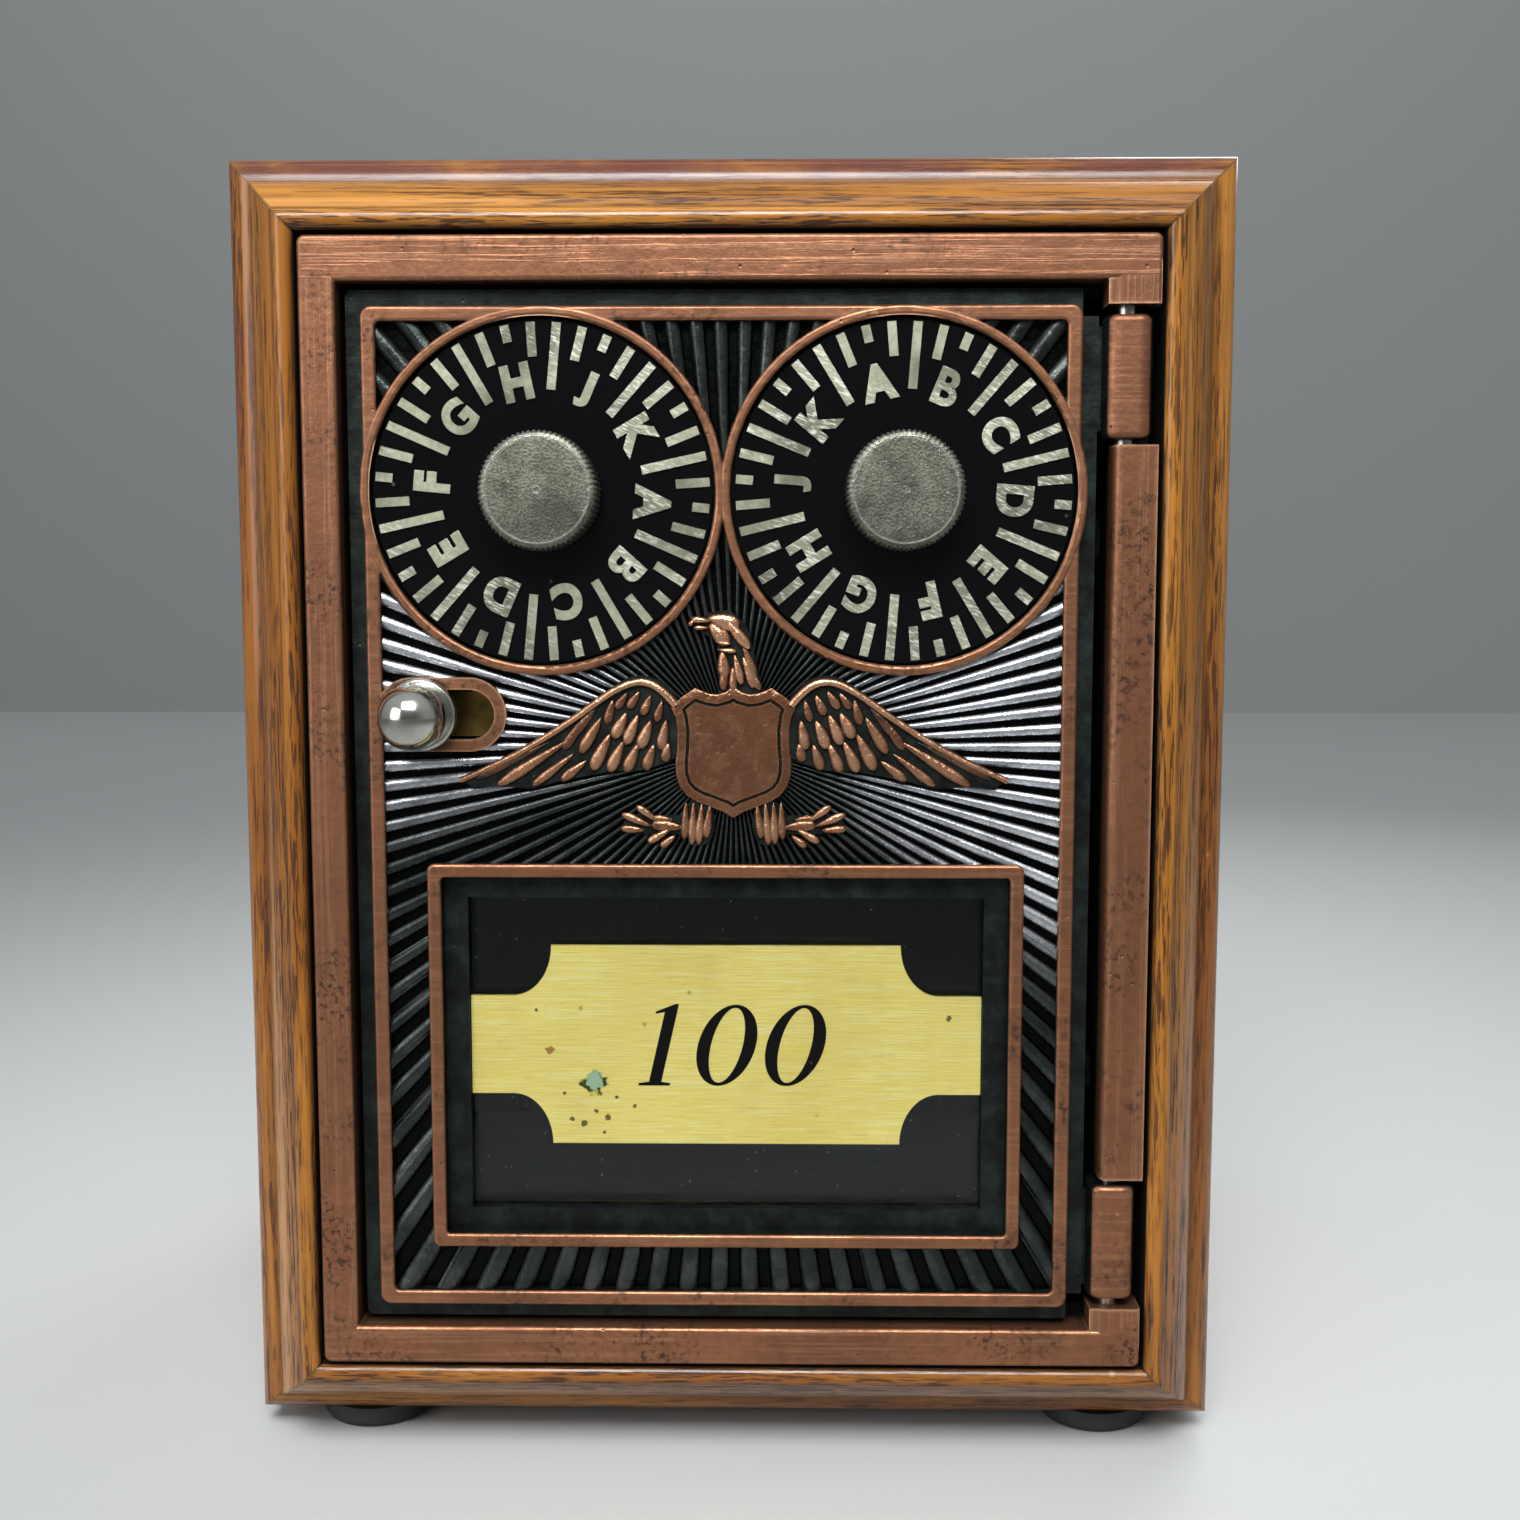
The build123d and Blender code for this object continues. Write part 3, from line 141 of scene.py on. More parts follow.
# ---------------------------------------------------------------- shared effects
def make_edge_wear():
    """Mask of edges rubbed bright, with its size and its strength."""
    tree, source, out = new_group("edge wear", [("Radius", "Float", 0.0003), ("Gain", "Float", 3.0)],
                                  [("Mask", "Float")])
    round_normal = add(tree, "ShaderNodeBevel", {"Radius": source["Radius"]}, samples=6).outputs[0]
    true_normal = tree.nodes.new("ShaderNodeNewGeometry").outputs["Normal"]
    dot = add(tree, "ShaderNodeVectorMath", {0: round_normal, 1: true_normal},
              operation="DOT_PRODUCT").outputs["Value"]
    bend = calc(tree, "SUBTRACT", 1.0, dot)
    tree.links.new(calc(tree, "MULTIPLY", bend, source["Gain"], clamp=True), out["Mask"])
    return tree


def make_crevice():
    """Mask of inner corners to be darkened as painted shade, found by ambient occlusion, with its reach
    and its strength.
    """
    tree, source, out = new_group("crevice", [("Reach", "Float", 0.001), ("Gain", "Float", 1.5)],
                                  [("Mask", "Float")])
    near = add(tree, "ShaderNodeAmbientOcclusion", {"Distance": source["Reach"]}, samples=6)
    closed = calc(tree, "SUBTRACT", 1.0, near.outputs["AO"])
    tree.links.new(calc(tree, "MULTIPLY", closed, source["Gain"], clamp=True), out["Mask"])
    return tree


def make_clouds():
    """Soft blotches: a mask with its size, its level and how sharp it is."""
    tree, source, out = new_group(
        "clouds", [("Vector", "Vector", None), ("Scale", "Float", 100.0), ("Level", "Float", 0.5),
                   ("Softness", "Float", 0.15)], [("Mask", "Float")])
    noise = add(tree, "ShaderNodeTexNoise", {"Vector": source["Vector"], "Scale": source["Scale"],
                                             "Detail": 5.0, "Roughness": 0.6}).outputs[0]
    low = calc(tree, "SUBTRACT", source["Level"], source["Softness"])
    high = calc(tree, "ADD", source["Level"], source["Softness"])
    tree.links.new(span(tree, noise, low, high), out["Mask"])
    return tree


def make_scratches():
    """Fine marks along one direction: stretch the vector, and set how many show."""
    tree, source, out = new_group(
        "scratches", [("Vector", "Vector", None), ("Stretch", "Vector", (1.0, 1.0, 1.0)),
                      ("Level", "Float", 0.62)], [("Mask", "Float"), ("Height", "Float")])
    place = add(tree, "ShaderNodeVectorMath", {0: source["Vector"], 1: source["Stretch"]},
                operation="MULTIPLY").outputs[0]
    noise = add(tree, "ShaderNodeTexNoise", {"Vector": place, "Scale": 1.0, "Detail": 3.0,
                                             "Roughness": 0.7}).outputs[0]
    top = calc(tree, "ADD", source["Level"], 0.12)
    tree.links.new(span(tree, noise, source["Level"], top), out["Mask"])
    tree.links.new(noise, out["Height"])
    return tree


def make_specks():
    """Small round spots scattered over a surface."""
    tree, source, out = new_group(
        "specks", [("Vector", "Vector", None), ("Scale", "Float", 600.0), ("Size", "Float", 0.2),
                   ("Share", "Float", 0.15)], [("Mask", "Float")])
    cells = add(tree, "ShaderNodeTexVoronoi", {"Vector": source["Vector"], "Scale": source["Scale"]})
    pick = add(tree, "ShaderNodeSeparateColor", {0: cells.outputs["Color"]}).outputs[0]
    chosen = calc(tree, "LESS_THAN", pick, source["Share"])
    dot = span(tree, cells.outputs["Distance"], source["Size"], 0.0)
    tree.links.new(calc(tree, "MULTIPLY", chosen, dot), out["Mask"])
    return tree


def make_wood_grain():
    """Oak along the vector's x: bands, dark pores and slow changes of tone."""
    tree, source, out = new_group(
        "wood grain", [("Vector", "Vector", None)],
        [("Ring", "Float"), ("Pore", "Float"), ("Tone", "Float"), ("Height", "Float")])

    def stretched(along, across, detail, shift=0.0):
        place = add(tree, "ShaderNodeVectorMath", {0: source["Vector"], 1: (along, across, across),
                                                   2: (shift, shift, shift)},
                    operation="MULTIPLY_ADD").outputs[0]
        return place, add(tree, "ShaderNodeTexNoise", {"Vector": place, "Scale": 1.0,
                                                       "Detail": detail, "Roughness": 0.6}).outputs[0]
    sway = stretched(7.0, 70.0, 2.0)[1]
    bend = calc(tree, "MULTIPLY", sway, 3.2)
    place = stretched(11.0, 520.0, 1.0, 3.7)[0]
    bent = add(tree, "ShaderNodeVectorMath", {0: place, 1: bend}, operation="ADD").outputs[0]
    ring = add(tree, "ShaderNodeTexNoise", {"Vector": bent, "Scale": 1.0, "Detail": 4.0,
                                            "Roughness": 0.65}).outputs[0]
    fine = stretched(230.0, 3400.0, 2.0)[1]
    coarse = stretched(120.0, 1500.0, 2.0, 9.1)[1]
    open_wood = span(tree, ring, 0.40, 0.58)
    pores = calc(tree, "MULTIPLY", span(tree, fine, 0.51, 0.59), open_wood)
    dashes = calc(tree, "MULTIPLY", span(tree, coarse, 0.59, 0.65),
                  span(tree, ring, 0.3, 0.6, 0.35, 1.0))
    marks = calc(tree, "MAXIMUM", pores, dashes)
    tree.links.new(span(tree, ring, 0.36, 0.66), out["Ring"])
    tree.links.new(marks, out["Pore"])
    tree.links.new(span(tree, sway, 0.3, 0.7), out["Tone"])
    tree.links.new(calc(tree, "MULTIPLY", marks, -1.0), out["Height"])
    return tree


EDGE_WEAR = make_edge_wear()
CREVICE = make_crevice()
CLOUDS = make_clouds()
SCRATCHES = make_scratches()
SPECKS = make_specks()
WOOD_GRAIN = make_wood_grain()


# ---------------------------------------------------------------- material helpers
def begin(name):
    """A new material; returns it, its tree, its shader and its Object coordinates."""
    material = bpy.data.materials.new(name)
    material.use_nodes = True
    tree = material.node_tree
    tree.nodes.clear()
    shader = tree.nodes.new("ShaderNodeBsdfPrincipled")
    output = tree.nodes.new("ShaderNodeOutputMaterial")
    tree.links.new(shader.outputs[0], output.inputs[0])
    place = tree.nodes.new("ShaderNodeTexCoord").outputs["Object"]
    return material, tree, shader, place


def wire(tree, shader, **sockets):
    """Set or link the shader's sockets; names use _ for a space."""
    for name, value in sockets.items():
        socket = shader.inputs[name.replace("_", " ")]
        if isinstance(value, bpy.types.NodeSocket):
            tree.links.new(value, socket)
        elif isinstance(value, tuple) and len(value) == 3:
            socket.default_value = (*value, 1.0)
        else:
            socket.default_value = value


def bump(tree, height, distance, strength=1.0):
    """A Bump node's normal."""
    return add(tree, "ShaderNodeBump", {"Height": height, "Distance": distance,
                                        "Strength": strength}).outputs[0]


def clouds(tree, place, scale, level, softness):
    """Soft blotches."""
    return place_group(tree, CLOUDS, {"Vector": place, "Scale": scale, "Level": level,
                                      "Softness": softness})["Mask"]


def specks(tree, place, scale, size, share):
    """Scattered round spots."""
    return place_group(tree, SPECKS, {"Vector": place, "Scale": scale, "Size": size,
                                      "Share": share})["Mask"]


def scratches(tree, place, stretch, level):
    """Fine marks along one direction: their mask and their height."""
    result = place_group(tree, SCRATCHES, {"Vector": place, "Stretch": stretch, "Level": level})
    return result["Mask"], result["Height"]


def share_of(tree, mask, amount):
    """A mask at part of its strength."""
    return calc(tree, "MULTIPLY", mask, amount)


def depth_below(tree, place, shallow, deep):
    """0 where the surface is nearer than shallow, 1 where it is behind deep (millimetres)."""
    y = add(tree, "ShaderNodeSeparateXYZ", {0: place}).outputs["Y"]
    return span(tree, y, FACE_Y + shallow * MM, FACE_Y + deep * MM)


def from_middle(tree, place):
    """Distances from the middle of the door frame, sideways and up or down."""
    parts = add(tree, "ShaderNodeSeparateXYZ", {0: place}).outputs
    return (calc(tree, "ABSOLUTE", calc(tree, "SUBTRACT", parts["X"], MID_X)),
            calc(tree, "ABSOLUTE", calc(tree, "SUBTRACT", parts["Z"], MID_Z)))


def spot(tree, place, x, z, depth, radius):
    """One ragged round mark on the front, millimetres."""
    centre = at(x, z, depth)
    ragged = add(tree, "ShaderNodeTexNoise", {"Vector": place, "Scale": 1.5 / (radius * MM),
                                              "Detail": 2.0}).outputs[0]
    away = add(tree, "ShaderNodeVectorMath", {0: place, 1: tuple(centre)},
               operation="DISTANCE").outputs["Value"]
    edge = calc(tree, "ADD", away, calc(tree, "MULTIPLY", ragged, 1.7 * radius * MM))
    return span(tree, edge, 1.9 * radius * MM, 1.65 * radius * MM)


# ---------------------------------------------------------------- metals
COPPER = colour(138, 92, 65)
# rubbed copper, also used for painted highlights on the eagle's crests
COPPER_RUBBED_AND_HIGHLIGHT = colour(216, 168, 132)
COPPER_BROWN = colour(78, 50, 36)
# dark stain colour, also used for painted shade in inner corners
COPPER_STAIN_AND_SHADE = colour(46, 38, 34)
PATINA = colour(20, 23, 22)
PATINA_GREEN = colour(38, 48, 44)


def copper_casting(name, brushed, shallow, deep, wear_radius=0.0005, worn=0.85, pits=1.0,
                   level_bars=False, crest=None, matt=0.33, grit=0.00004):
    """Copper-finished brass: rubbed edges, pits and stains, painted shade in inner corners, dark patina
    low down.

    With level_bars the frame's top and bottom bars are brushed along their length, and with
    crest all that stands nearer than that depth is rubbed bright, partly wear and partly a painted
    highlight."""
    material, tree, shader, place = begin(name)
    wear = place_group(tree, EDGE_WEAR, {"Radius": wear_radius, "Gain": 2.8})["Mask"]
    # painted shade: inner corners are found by ambient occlusion
    crevice_shade = place_group(tree, CREVICE, {"Reach": 0.0011, "Gain": 1.9})["Mask"]
    blotch = clouds(tree, place, 120.0, 0.54, 0.16)
    mottle = clouds(tree, place, 900.0, 0.5, 0.25)
    stained = share_of(tree, clouds(tree, place, 1500.0, 0.56, 0.08),
                       clouds(tree, place, 95.0, 0.54, 0.1))
    pit = share_of(tree, specks(tree, place, 850.0, 0.22, 0.09), pits)
    blister = share_of(tree, specks(tree, place, 330.0, 0.1, 0.03), pits)
    lines, line_height = scratches(tree, place, brushed, 0.5)
    if level_bars:
        level_lines = scratches(tree, place, ACROSS, 0.5)[0]
        bar = span(tree, from_middle(tree, place)[1], 56.6 * MM, 57.0 * MM)
        lines = calc(tree, "ADD", calc(tree, "MULTIPLY", level_lines, bar),
                     calc(tree, "MULTIPLY", lines, calc(tree, "SUBTRACT", 1.0, bar)))
        line_height = lines
    low = depth_below(tree, place, shallow, deep)
    body = blend_colour(tree, share_of(tree, blotch, 0.5), COPPER, COPPER_BROWN)
    body = blend_colour(tree, share_of(tree, mottle, 0.28), body, COPPER_BROWN)
    body = blend_colour(tree, share_of(tree, lines, 0.1), body, COPPER_RUBBED_AND_HIGHLIGHT)
    body = blend_colour(tree, share_of(tree, stained, 0.8), body, COPPER_STAIN_AND_SHADE)
    body = blend_colour(tree, share_of(tree, pit, 0.9), body, COPPER_STAIN_AND_SHADE)
    # painted shade: inner corners darkened with the stain colour
    body = blend_colour(tree, share_of(tree, crevice_shade, 0.85), body, COPPER_STAIN_AND_SHADE)
    body = blend_colour(tree, share_of(tree, calc(tree, "MAXIMUM", wear, blister), worn), body,
                        COPPER_RUBBED_AND_HIGHLIGHT)
    # partly wear, partly painted highlight: the nearest raised parts are lightened
    if crest:
        body = blend_colour(tree, share_of(tree, depth_below(tree, place, crest[1], crest[0]), 0.6),
                            body, COPPER_RUBBED_AND_HIGHLIGHT)
    hollow = blend_colour(tree, clouds(tree, place, 420.0, 0.56, 0.2), PATINA, PATINA_GREEN)
    skin = blend_colour(tree, low, body, hollow)
    rough = calc(tree, "ADD", share_of(tree, mottle, 0.1), share_of(tree, blotch, 0.1))
    relief = calc(tree, "ADD", calc(tree, "ADD", share_of(tree, line_height, 0.6), mottle),
                  calc(tree, "MULTIPLY", calc(tree, "SUBTRACT", blister, pit), 3.0))
    wire(tree, shader, Base_Color=skin, Metallic=0.8, Roughness=calc(tree, "ADD", rough, matt),
         Normal=bump(tree, relief, grit, 0.6))
    return material


def sunburst_metal():
    """Dark oxidised ribs, black in the grooves, with a painted silver highlight along the level ribs.
    """
    material, tree, shader, place = begin("sunburst metal")
    away = add(tree, "ShaderNodeVectorMath", {0: place, 1: tuple(at(BURST_X, BURST_Z, 0.0))},
               operation="SUBTRACT").outputs[0]
    parts = add(tree, "ShaderNodeSeparateXYZ", {0: away}).outputs
    sideways = calc(tree, "ABSOLUTE", parts["X"])
    slope = calc(tree, "DIVIDE", parts["Z"], calc(tree, "ADD", sideways, MM))
    # painted highlight: ribs that run level, which would catch the light from above, are lightened to
    # silver, less so low on the left
    lowest = span(tree, parts["X"], -7 * MM, 7 * MM, 0.06, 0.5)
    level = calc(tree, "MULTIPLY", span(tree, slope, 0.95, 0.3), span(tree, sideways, 7 * MM, 24 * MM))
    level = calc(tree, "MULTIPLY", level, span(tree, calc(tree, "ADD", slope, lowest), -0.3, 0.1))
    groove = depth_below(tree, place, 1.12, 1.4)
    patches = clouds(tree, place, 210.0, 0.5, 0.2)
    fine = clouds(tree, place, 1300.0, 0.52, 0.2)
    rubbed = calc(tree, "MULTIPLY", level, calc(tree, "ADD", share_of(tree, patches, 0.45), 0.55))
    skin = blend_colour(tree, patches, colour(38, 44, 44), colour(68, 72, 70))
    # painted silver highlight on the level ribs
    skin = blend_colour(tree, rubbed, skin, colour(220, 222, 228))
    skin = blend_colour(tree, share_of(tree, fine, 0.35), skin, colour(30, 34, 34))
    skin = blend_colour(tree, groove, skin, colour(7, 8, 8))
    wire(tree, shader, Base_Color=skin, Metallic=0.9,
         Roughness=calc(tree, "ADD", share_of(tree, fine, 0.14), 0.24),
         Normal=bump(tree, fine, 0.00004, 0.5))
    return material


def dull_brass(name, base, tarnish):
    """Plain brass lock parts, gone dull."""
    material, tree, shader, place = begin(name)
    blotch = clouds(tree, place, 220.0, 0.52, 0.16)
    lines = scratches(tree, place, (300.0, 300.0, 5200.0), 0.55)[1]
    skin = blend_colour(tree, blotch, base, tarnish)
    wire(tree, shader, Base_Color=skin, Metallic=1.0,
         Roughness=calc(tree, "ADD", share_of(tree, blotch, 0.18), 0.3),
         Normal=bump(tree, lines, 0.00002, 0.5))
    return material


def plain_steel(name, base, rough, marks=(400.0, 400.0, 400.0)):
    """Steel with fine marks and faint cloudy oxide."""
    material, tree, shader, place = begin(name)
    blotch = clouds(tree, place, 500.0, 0.5, 0.2)
    lines = scratches(tree, place, marks, 0.55)[1]
    skin = blend_colour(tree, share_of(tree, blotch, 0.5), base, tuple(part * 0.55 for part in base))
    wire(tree, shader, Base_Color=skin, Metallic=1.0,
         Roughness=calc(tree, "ADD", share_of(tree, blotch, 0.14), rough),
         Normal=bump(tree, lines, 0.00001, 0.4))
    return material


def worn_nickel():
    """Nickel rubbed bright on its rim, gone dark and grainy on its face."""
    material, tree, shader, place = begin("worn nickel")
    wear = place_group(tree, EDGE_WEAR, {"Radius": 0.00035, "Gain": 3.5})["Mask"]
    crevice_shade = place_group(tree, CREVICE, {"Reach": 0.0005, "Gain": 2.2})["Mask"]
    cloud = clouds(tree, place, 260.0, 0.5, 0.2)
    grain = clouds(tree, place, 3600.0, 0.5, 0.14)
    bright = specks(tree, place, 2200.0, 0.3, 0.1)
    skin = blend_colour(tree, cloud, colour(72, 75, 64), colour(116, 119, 105))
    skin = blend_colour(tree, share_of(tree, grain, 0.6), skin, colour(52, 54, 47))
    skin = blend_colour(tree, share_of(tree, bright, 0.5), skin, colour(206, 206, 194))
    # painted shade: inner corners, found by ambient occlusion, are darkened
    skin = blend_colour(tree, share_of(tree, crevice_shade, 0.8), skin, colour(26, 26, 22))
    skin = blend_colour(tree, wear, skin, colour(222, 222, 212))
    wire(tree, shader, Base_Color=skin, Metallic=0.9,
         Roughness=span(tree, wear, 0.0, 1.0, 0.44, 0.2), Normal=bump(tree, grain, 0.00003, 0.6))
    return material


def dial_enamel(name, face_depth):
    """Glossy black enamel, rubbed off the raised marks down to grey metal."""
    material, tree, shader, place = begin(name)
    low = depth_below(tree, place, face_depth - 0.14, face_depth - 0.06)
    slanted = add(tree, "ShaderNodeMapping", {"Vector": place, "Rotation": (0.0, -0.4, 0.0)}).outputs[0]
    lines, line_height = scratches(tree, slanted, (900.0, 900.0, 4600.0), 0.5)
    blotch = clouds(tree, place, 110.0, 0.52, 0.14)
    fine = clouds(tree, place, 2600.0, 0.5, 0.2)
    scored = calc(tree, "MULTIPLY", lines, clouds(tree, place, 60.0, 0.5, 0.06))
    bare = blend_colour(tree, blotch, colour(168, 168, 146), colour(104, 106, 90))
    bare = blend_colour(tree, share_of(tree, fine, 0.35), bare, colour(84, 86, 74))
    bare = blend_colour(tree, share_of(tree, scored, 0.75), bare, colour(226, 226, 214))
    dust = specks(tree, place, 420.0, 0.12, 0.05)
    black = blend_colour(tree, share_of(tree, dust, 0.35), colour(5, 5, 6), colour(120, 120, 120))
    skin = blend_colour(tree, low, bare, black)
    wire(tree, shader, Base_Color=skin, Specular_IOR_Level=0.25,
         Metallic=share_of(tree, calc(tree, "SUBTRACT", 1.0, low), 0.7),
         Roughness=span(tree, low, 0.0, 1.0, 0.42, 0.14),
         Normal=bump(tree, line_height, 0.00002, 0.35))
    return material


# ---------------------------------------------------------------- wood, glass, rubber, plate
BOARDS_LOW, BOARDS_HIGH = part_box("box_left")[0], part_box("box_right")[1]
INSIDE = (45.88 * MM, 61.93 * MM)      # half the inside of the box, sideways and up
STEPS = ((7.2, 0.6), (3.0, 0.8))       # the moulding's steps in from its outer edge, and the strength of the painted shade along them


def oak(name, upright, board=True):
    """Varnished oak, with its grain upright or level, made near black inside the box as painted shade.

    A board also has painted shade along the moulding's steps, its dark outer edge and its mitre lines."""
    material, tree, shader, place = begin(name)
    turn = (0.0, pi / 2, 0.0) if upright else (0.0, 0.0, 0.0)
    run = add(tree, "ShaderNodeMapping", {"Vector": place, "Rotation": turn}).outputs[0]
    grain = place_group(tree, WOOD_GRAIN, {"Vector": run})
    wear = place_group(tree, EDGE_WEAR, {"Radius": 0.0004, "Gain": 2.0})["Mask"]
    crevice_shade = place_group(tree, CREVICE, {"Reach": 0.0016, "Gain": 1.5})["Mask"]
    parts = add(tree, "ShaderNodeSeparateXYZ", {0: place}).outputs
    sideways, upward = from_middle(tree, place)
    front = span(tree, parts["Y"], FACE_Y + 13 * MM, FACE_Y + 9 * MM)
    skin = blend_colour(tree, grain["Tone"], colour(166, 112, 42), colour(132, 82, 26))
    skin = blend_colour(tree, share_of(tree, grain["Ring"], 0.7), skin, colour(96, 52, 14))
    pores = share_of(tree, grain["Pore"], span(tree, front, 0.0, 1.0, 0.62, 0.9))
    skin = blend_colour(tree, pores, skin, colour(48, 25, 11))
    if board:
        edge_x = calc(tree, "SUBTRACT", (BOARDS_HIGH.x - BOARDS_LOW.x) / 2, sideways)
        edge_z = calc(tree, "SUBTRACT", (BOARDS_HIGH.z - BOARDS_LOW.z) / 2, upward)
        rim = calc(tree, "MINIMUM", edge_x, edge_z)
        at_top = span(tree, parts["Z"], MID_Z + 60 * MM, MID_Z + 70 * MM, 0.35, 0.95)
        red = share_of(tree, span(tree, rim, 3.6 * MM, 2.2 * MM), clouds(tree, run, 40.0, 0.45, 0.14))
        red = share_of(tree, share_of(tree, red, at_top), front)
        skin = blend_colour(tree, red, skin, colour(80, 38, 30))
        joint = span(tree, calc(tree, "ABSOLUTE", calc(tree, "SUBTRACT", edge_x, edge_z)),
                     0.28 * MM, 0.1 * MM)
        line = share_of(tree, joint, 0.9)
        # painted shade along the creases of the moulding's steps
        for step, strength in STEPS:
            away = calc(tree, "ABSOLUTE", calc(tree, "SUBTRACT", rim, step * MM))
            mark = calc(tree, "MULTIPLY", span(tree, away, 0.3 * MM, 0.05 * MM),
                        clouds(tree, run, 55.0, 0.42, 0.2))
            line = calc(tree, "MAXIMUM", line, share_of(tree, mark, strength))
        skin = blend_colour(tree, calc(tree, "MULTIPLY", line, front), skin, colour(34, 18, 11))
    nick = specks(tree, run, 190.0, 0.1, 0.05)
    skin = blend_colour(tree, share_of(tree, nick, 0.7), skin, colour(220, 184, 136))
    skin = blend_colour(tree, share_of(tree, wear, 0.35), skin, colour(196, 142, 66))
    # painted shade: inner corners, found by ambient occlusion, are darkened
    skin = blend_colour(tree, share_of(tree, crevice_shade, 0.9), skin, colour(34, 18, 10))
    # painted shade: the inside of the box, seen through the glass, is made near black
    within = calc(tree, "MULTIPLY", calc(tree, "LESS_THAN", sideways, INSIDE[0]),
                  calc(tree, "LESS_THAN", upward, INSIDE[1]))
    deep = calc(tree, "MULTIPLY", calc(tree, "GREATER_THAN", parts["Y"], FACE_Y + 1.0 * MM),
                calc(tree, "LESS_THAN", parts["Y"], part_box("back_panel")[0].y + 0.1 * MM))
    within = calc(tree, "MULTIPLY", within, deep)
    skin = blend_colour(tree, within, skin, colour(12, 9, 8))
    wire(tree, shader, Base_Color=skin, Coat_Roughness=0.14, Specular_IOR_Level=0.15,
         Coat_Weight=share_of(tree, calc(tree, "SUBTRACT", 1.0, within), 0.4),
         Roughness=span(tree, calc(tree, "MAXIMUM", share_of(tree, grain["Pore"], 0.5), within),
                        0.0, 1.0, 0.34, 0.8),
         Normal=bump(tree, grain["Height"], 0.0001, 0.8))
    return material


def black_rubber():
    """Moulded rubber with a fine grain."""
    material, tree, shader, place = begin("black rubber")
    grain = add(tree, "ShaderNodeTexNoise", {"Vector": place, "Scale": 2600.0}).outputs[0]
    skin = blend_colour(tree, grain, colour(16, 16, 17), colour(34, 34, 34))
    wire(tree, shader, Base_Color=skin, Roughness=0.65, Normal=bump(tree, grain, 0.00003, 0.6))
    return material


def window_pane():
    """Clear glass with dust lying on it."""
    material, tree, shader, place = begin("window pane")
    dust = specks(tree, place, 1100.0, 0.16, 0.12)
    skin = blend_colour(tree, dust, colour(226, 238, 240), colour(250, 250, 250))
    wire(tree, shader, Base_Color=skin, Roughness=span(tree, dust, 0.0, 1.0, 0.02, 0.5),
         Transmission_Weight=1.0, IOR=1.36)
    return material


def black_ink():
    """Printed black, slightly worn."""
    material, tree, shader, place = begin("black ink")
    worn = specks(tree, place, 900.0, 0.2, 0.08)
    skin = blend_colour(tree, share_of(tree, worn, 0.4), colour(4, 4, 4), colour(90, 76, 40))
    wire(tree, shader, Base_Color=skin, Roughness=0.5, Specular_IOR_Level=0.1)
    return material


# tarnish on the number plate: x, z and, for the dark spots, radius
DARK_SPOTS = ((-17.6, -34.1, 0.3), (-16.2, -34.6, 0.34), (-14.9, -33.2, 0.26), (-13.6, -33.9, 0.36),
              (-12.6, -31.6, 0.22), (-10.6, -32.6, 0.22), (-18.4, -31.2, 0.2), (24.1, -22.6, 0.32),
              (-21.4, -21.8, 0.2), (-14.0, -35.6, 0.2))
RUST_SPOT = (-20.0, -26.3)
GREEN_SPOT = (-15.1, -29.7)
GREEN_EDGE = (-15.1, -30.0)


def plate_brass():
    """Yellow brass brushed along its length, with a few tarnish spots."""
    material, tree, shader, place = begin("brushed plate brass")
    lines, line_height = scratches(tree, place, (90.0, 300.0, 7500.0), 0.47)
    faint, faint_height = scratches(tree, place, (260.0, 300.0, 15000.0), 0.5)
    dull = clouds(tree, place, 70.0, 0.55, 0.2)
    skin = blend_colour(tree, share_of(tree, lines, 0.55), colour(246, 228, 124), colour(255, 252, 190))
    skin = blend_colour(tree, share_of(tree, faint, 0.5), skin, colour(216, 190, 92))
    skin = blend_colour(tree, share_of(tree, dull, 0.25), skin, colour(198, 170, 80))
    skin = blend_colour(tree, share_of(tree, specks(tree, place, 420.0, 0.16, 0.1), 0.7), skin,
                        colour(96, 72, 30))
    depth = (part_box("number_plate")[0].y - FACE_Y) / MM
    for x, z, radius in DARK_SPOTS:
        skin = blend_colour(tree, share_of(tree, spot(tree, place, x, z, depth, radius), 0.85), skin,
                            colour(52, 42, 22))
    skin = blend_colour(tree, share_of(tree, spot(tree, place, *RUST_SPOT, depth, 0.5), 0.8), skin,
                        colour(150, 92, 34))
    skin = blend_colour(tree, spot(tree, place, *GREEN_EDGE, depth, 1.35), skin, colour(70, 74, 40))
    green = spot(tree, place, *GREEN_SPOT, depth, 1.0)
    skin = blend_colour(tree, green, skin, colour(104, 130, 104))
    wire(tree, shader, Base_Color=skin, Metallic=span(tree, green, 0.0, 1.0, 0.85, 0.0),
         Roughness=span(tree, green, 0.0, 1.0, 0.36, 0.8),
         Normal=bump(tree, calc(tree, "ADD", line_height, faint_height), 0.00003, 0.5))
    return material


LEFT_CENTRE = Vector(JOINTS["left_dial_turn"]["pos_m"])
RIGHT_CENTRE = Vector(JOINTS["right_dial_turn"]["pos_m"])
DIAL_FACE = (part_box("left_dial")[0].y - FACE_Y) / MM + 0.2

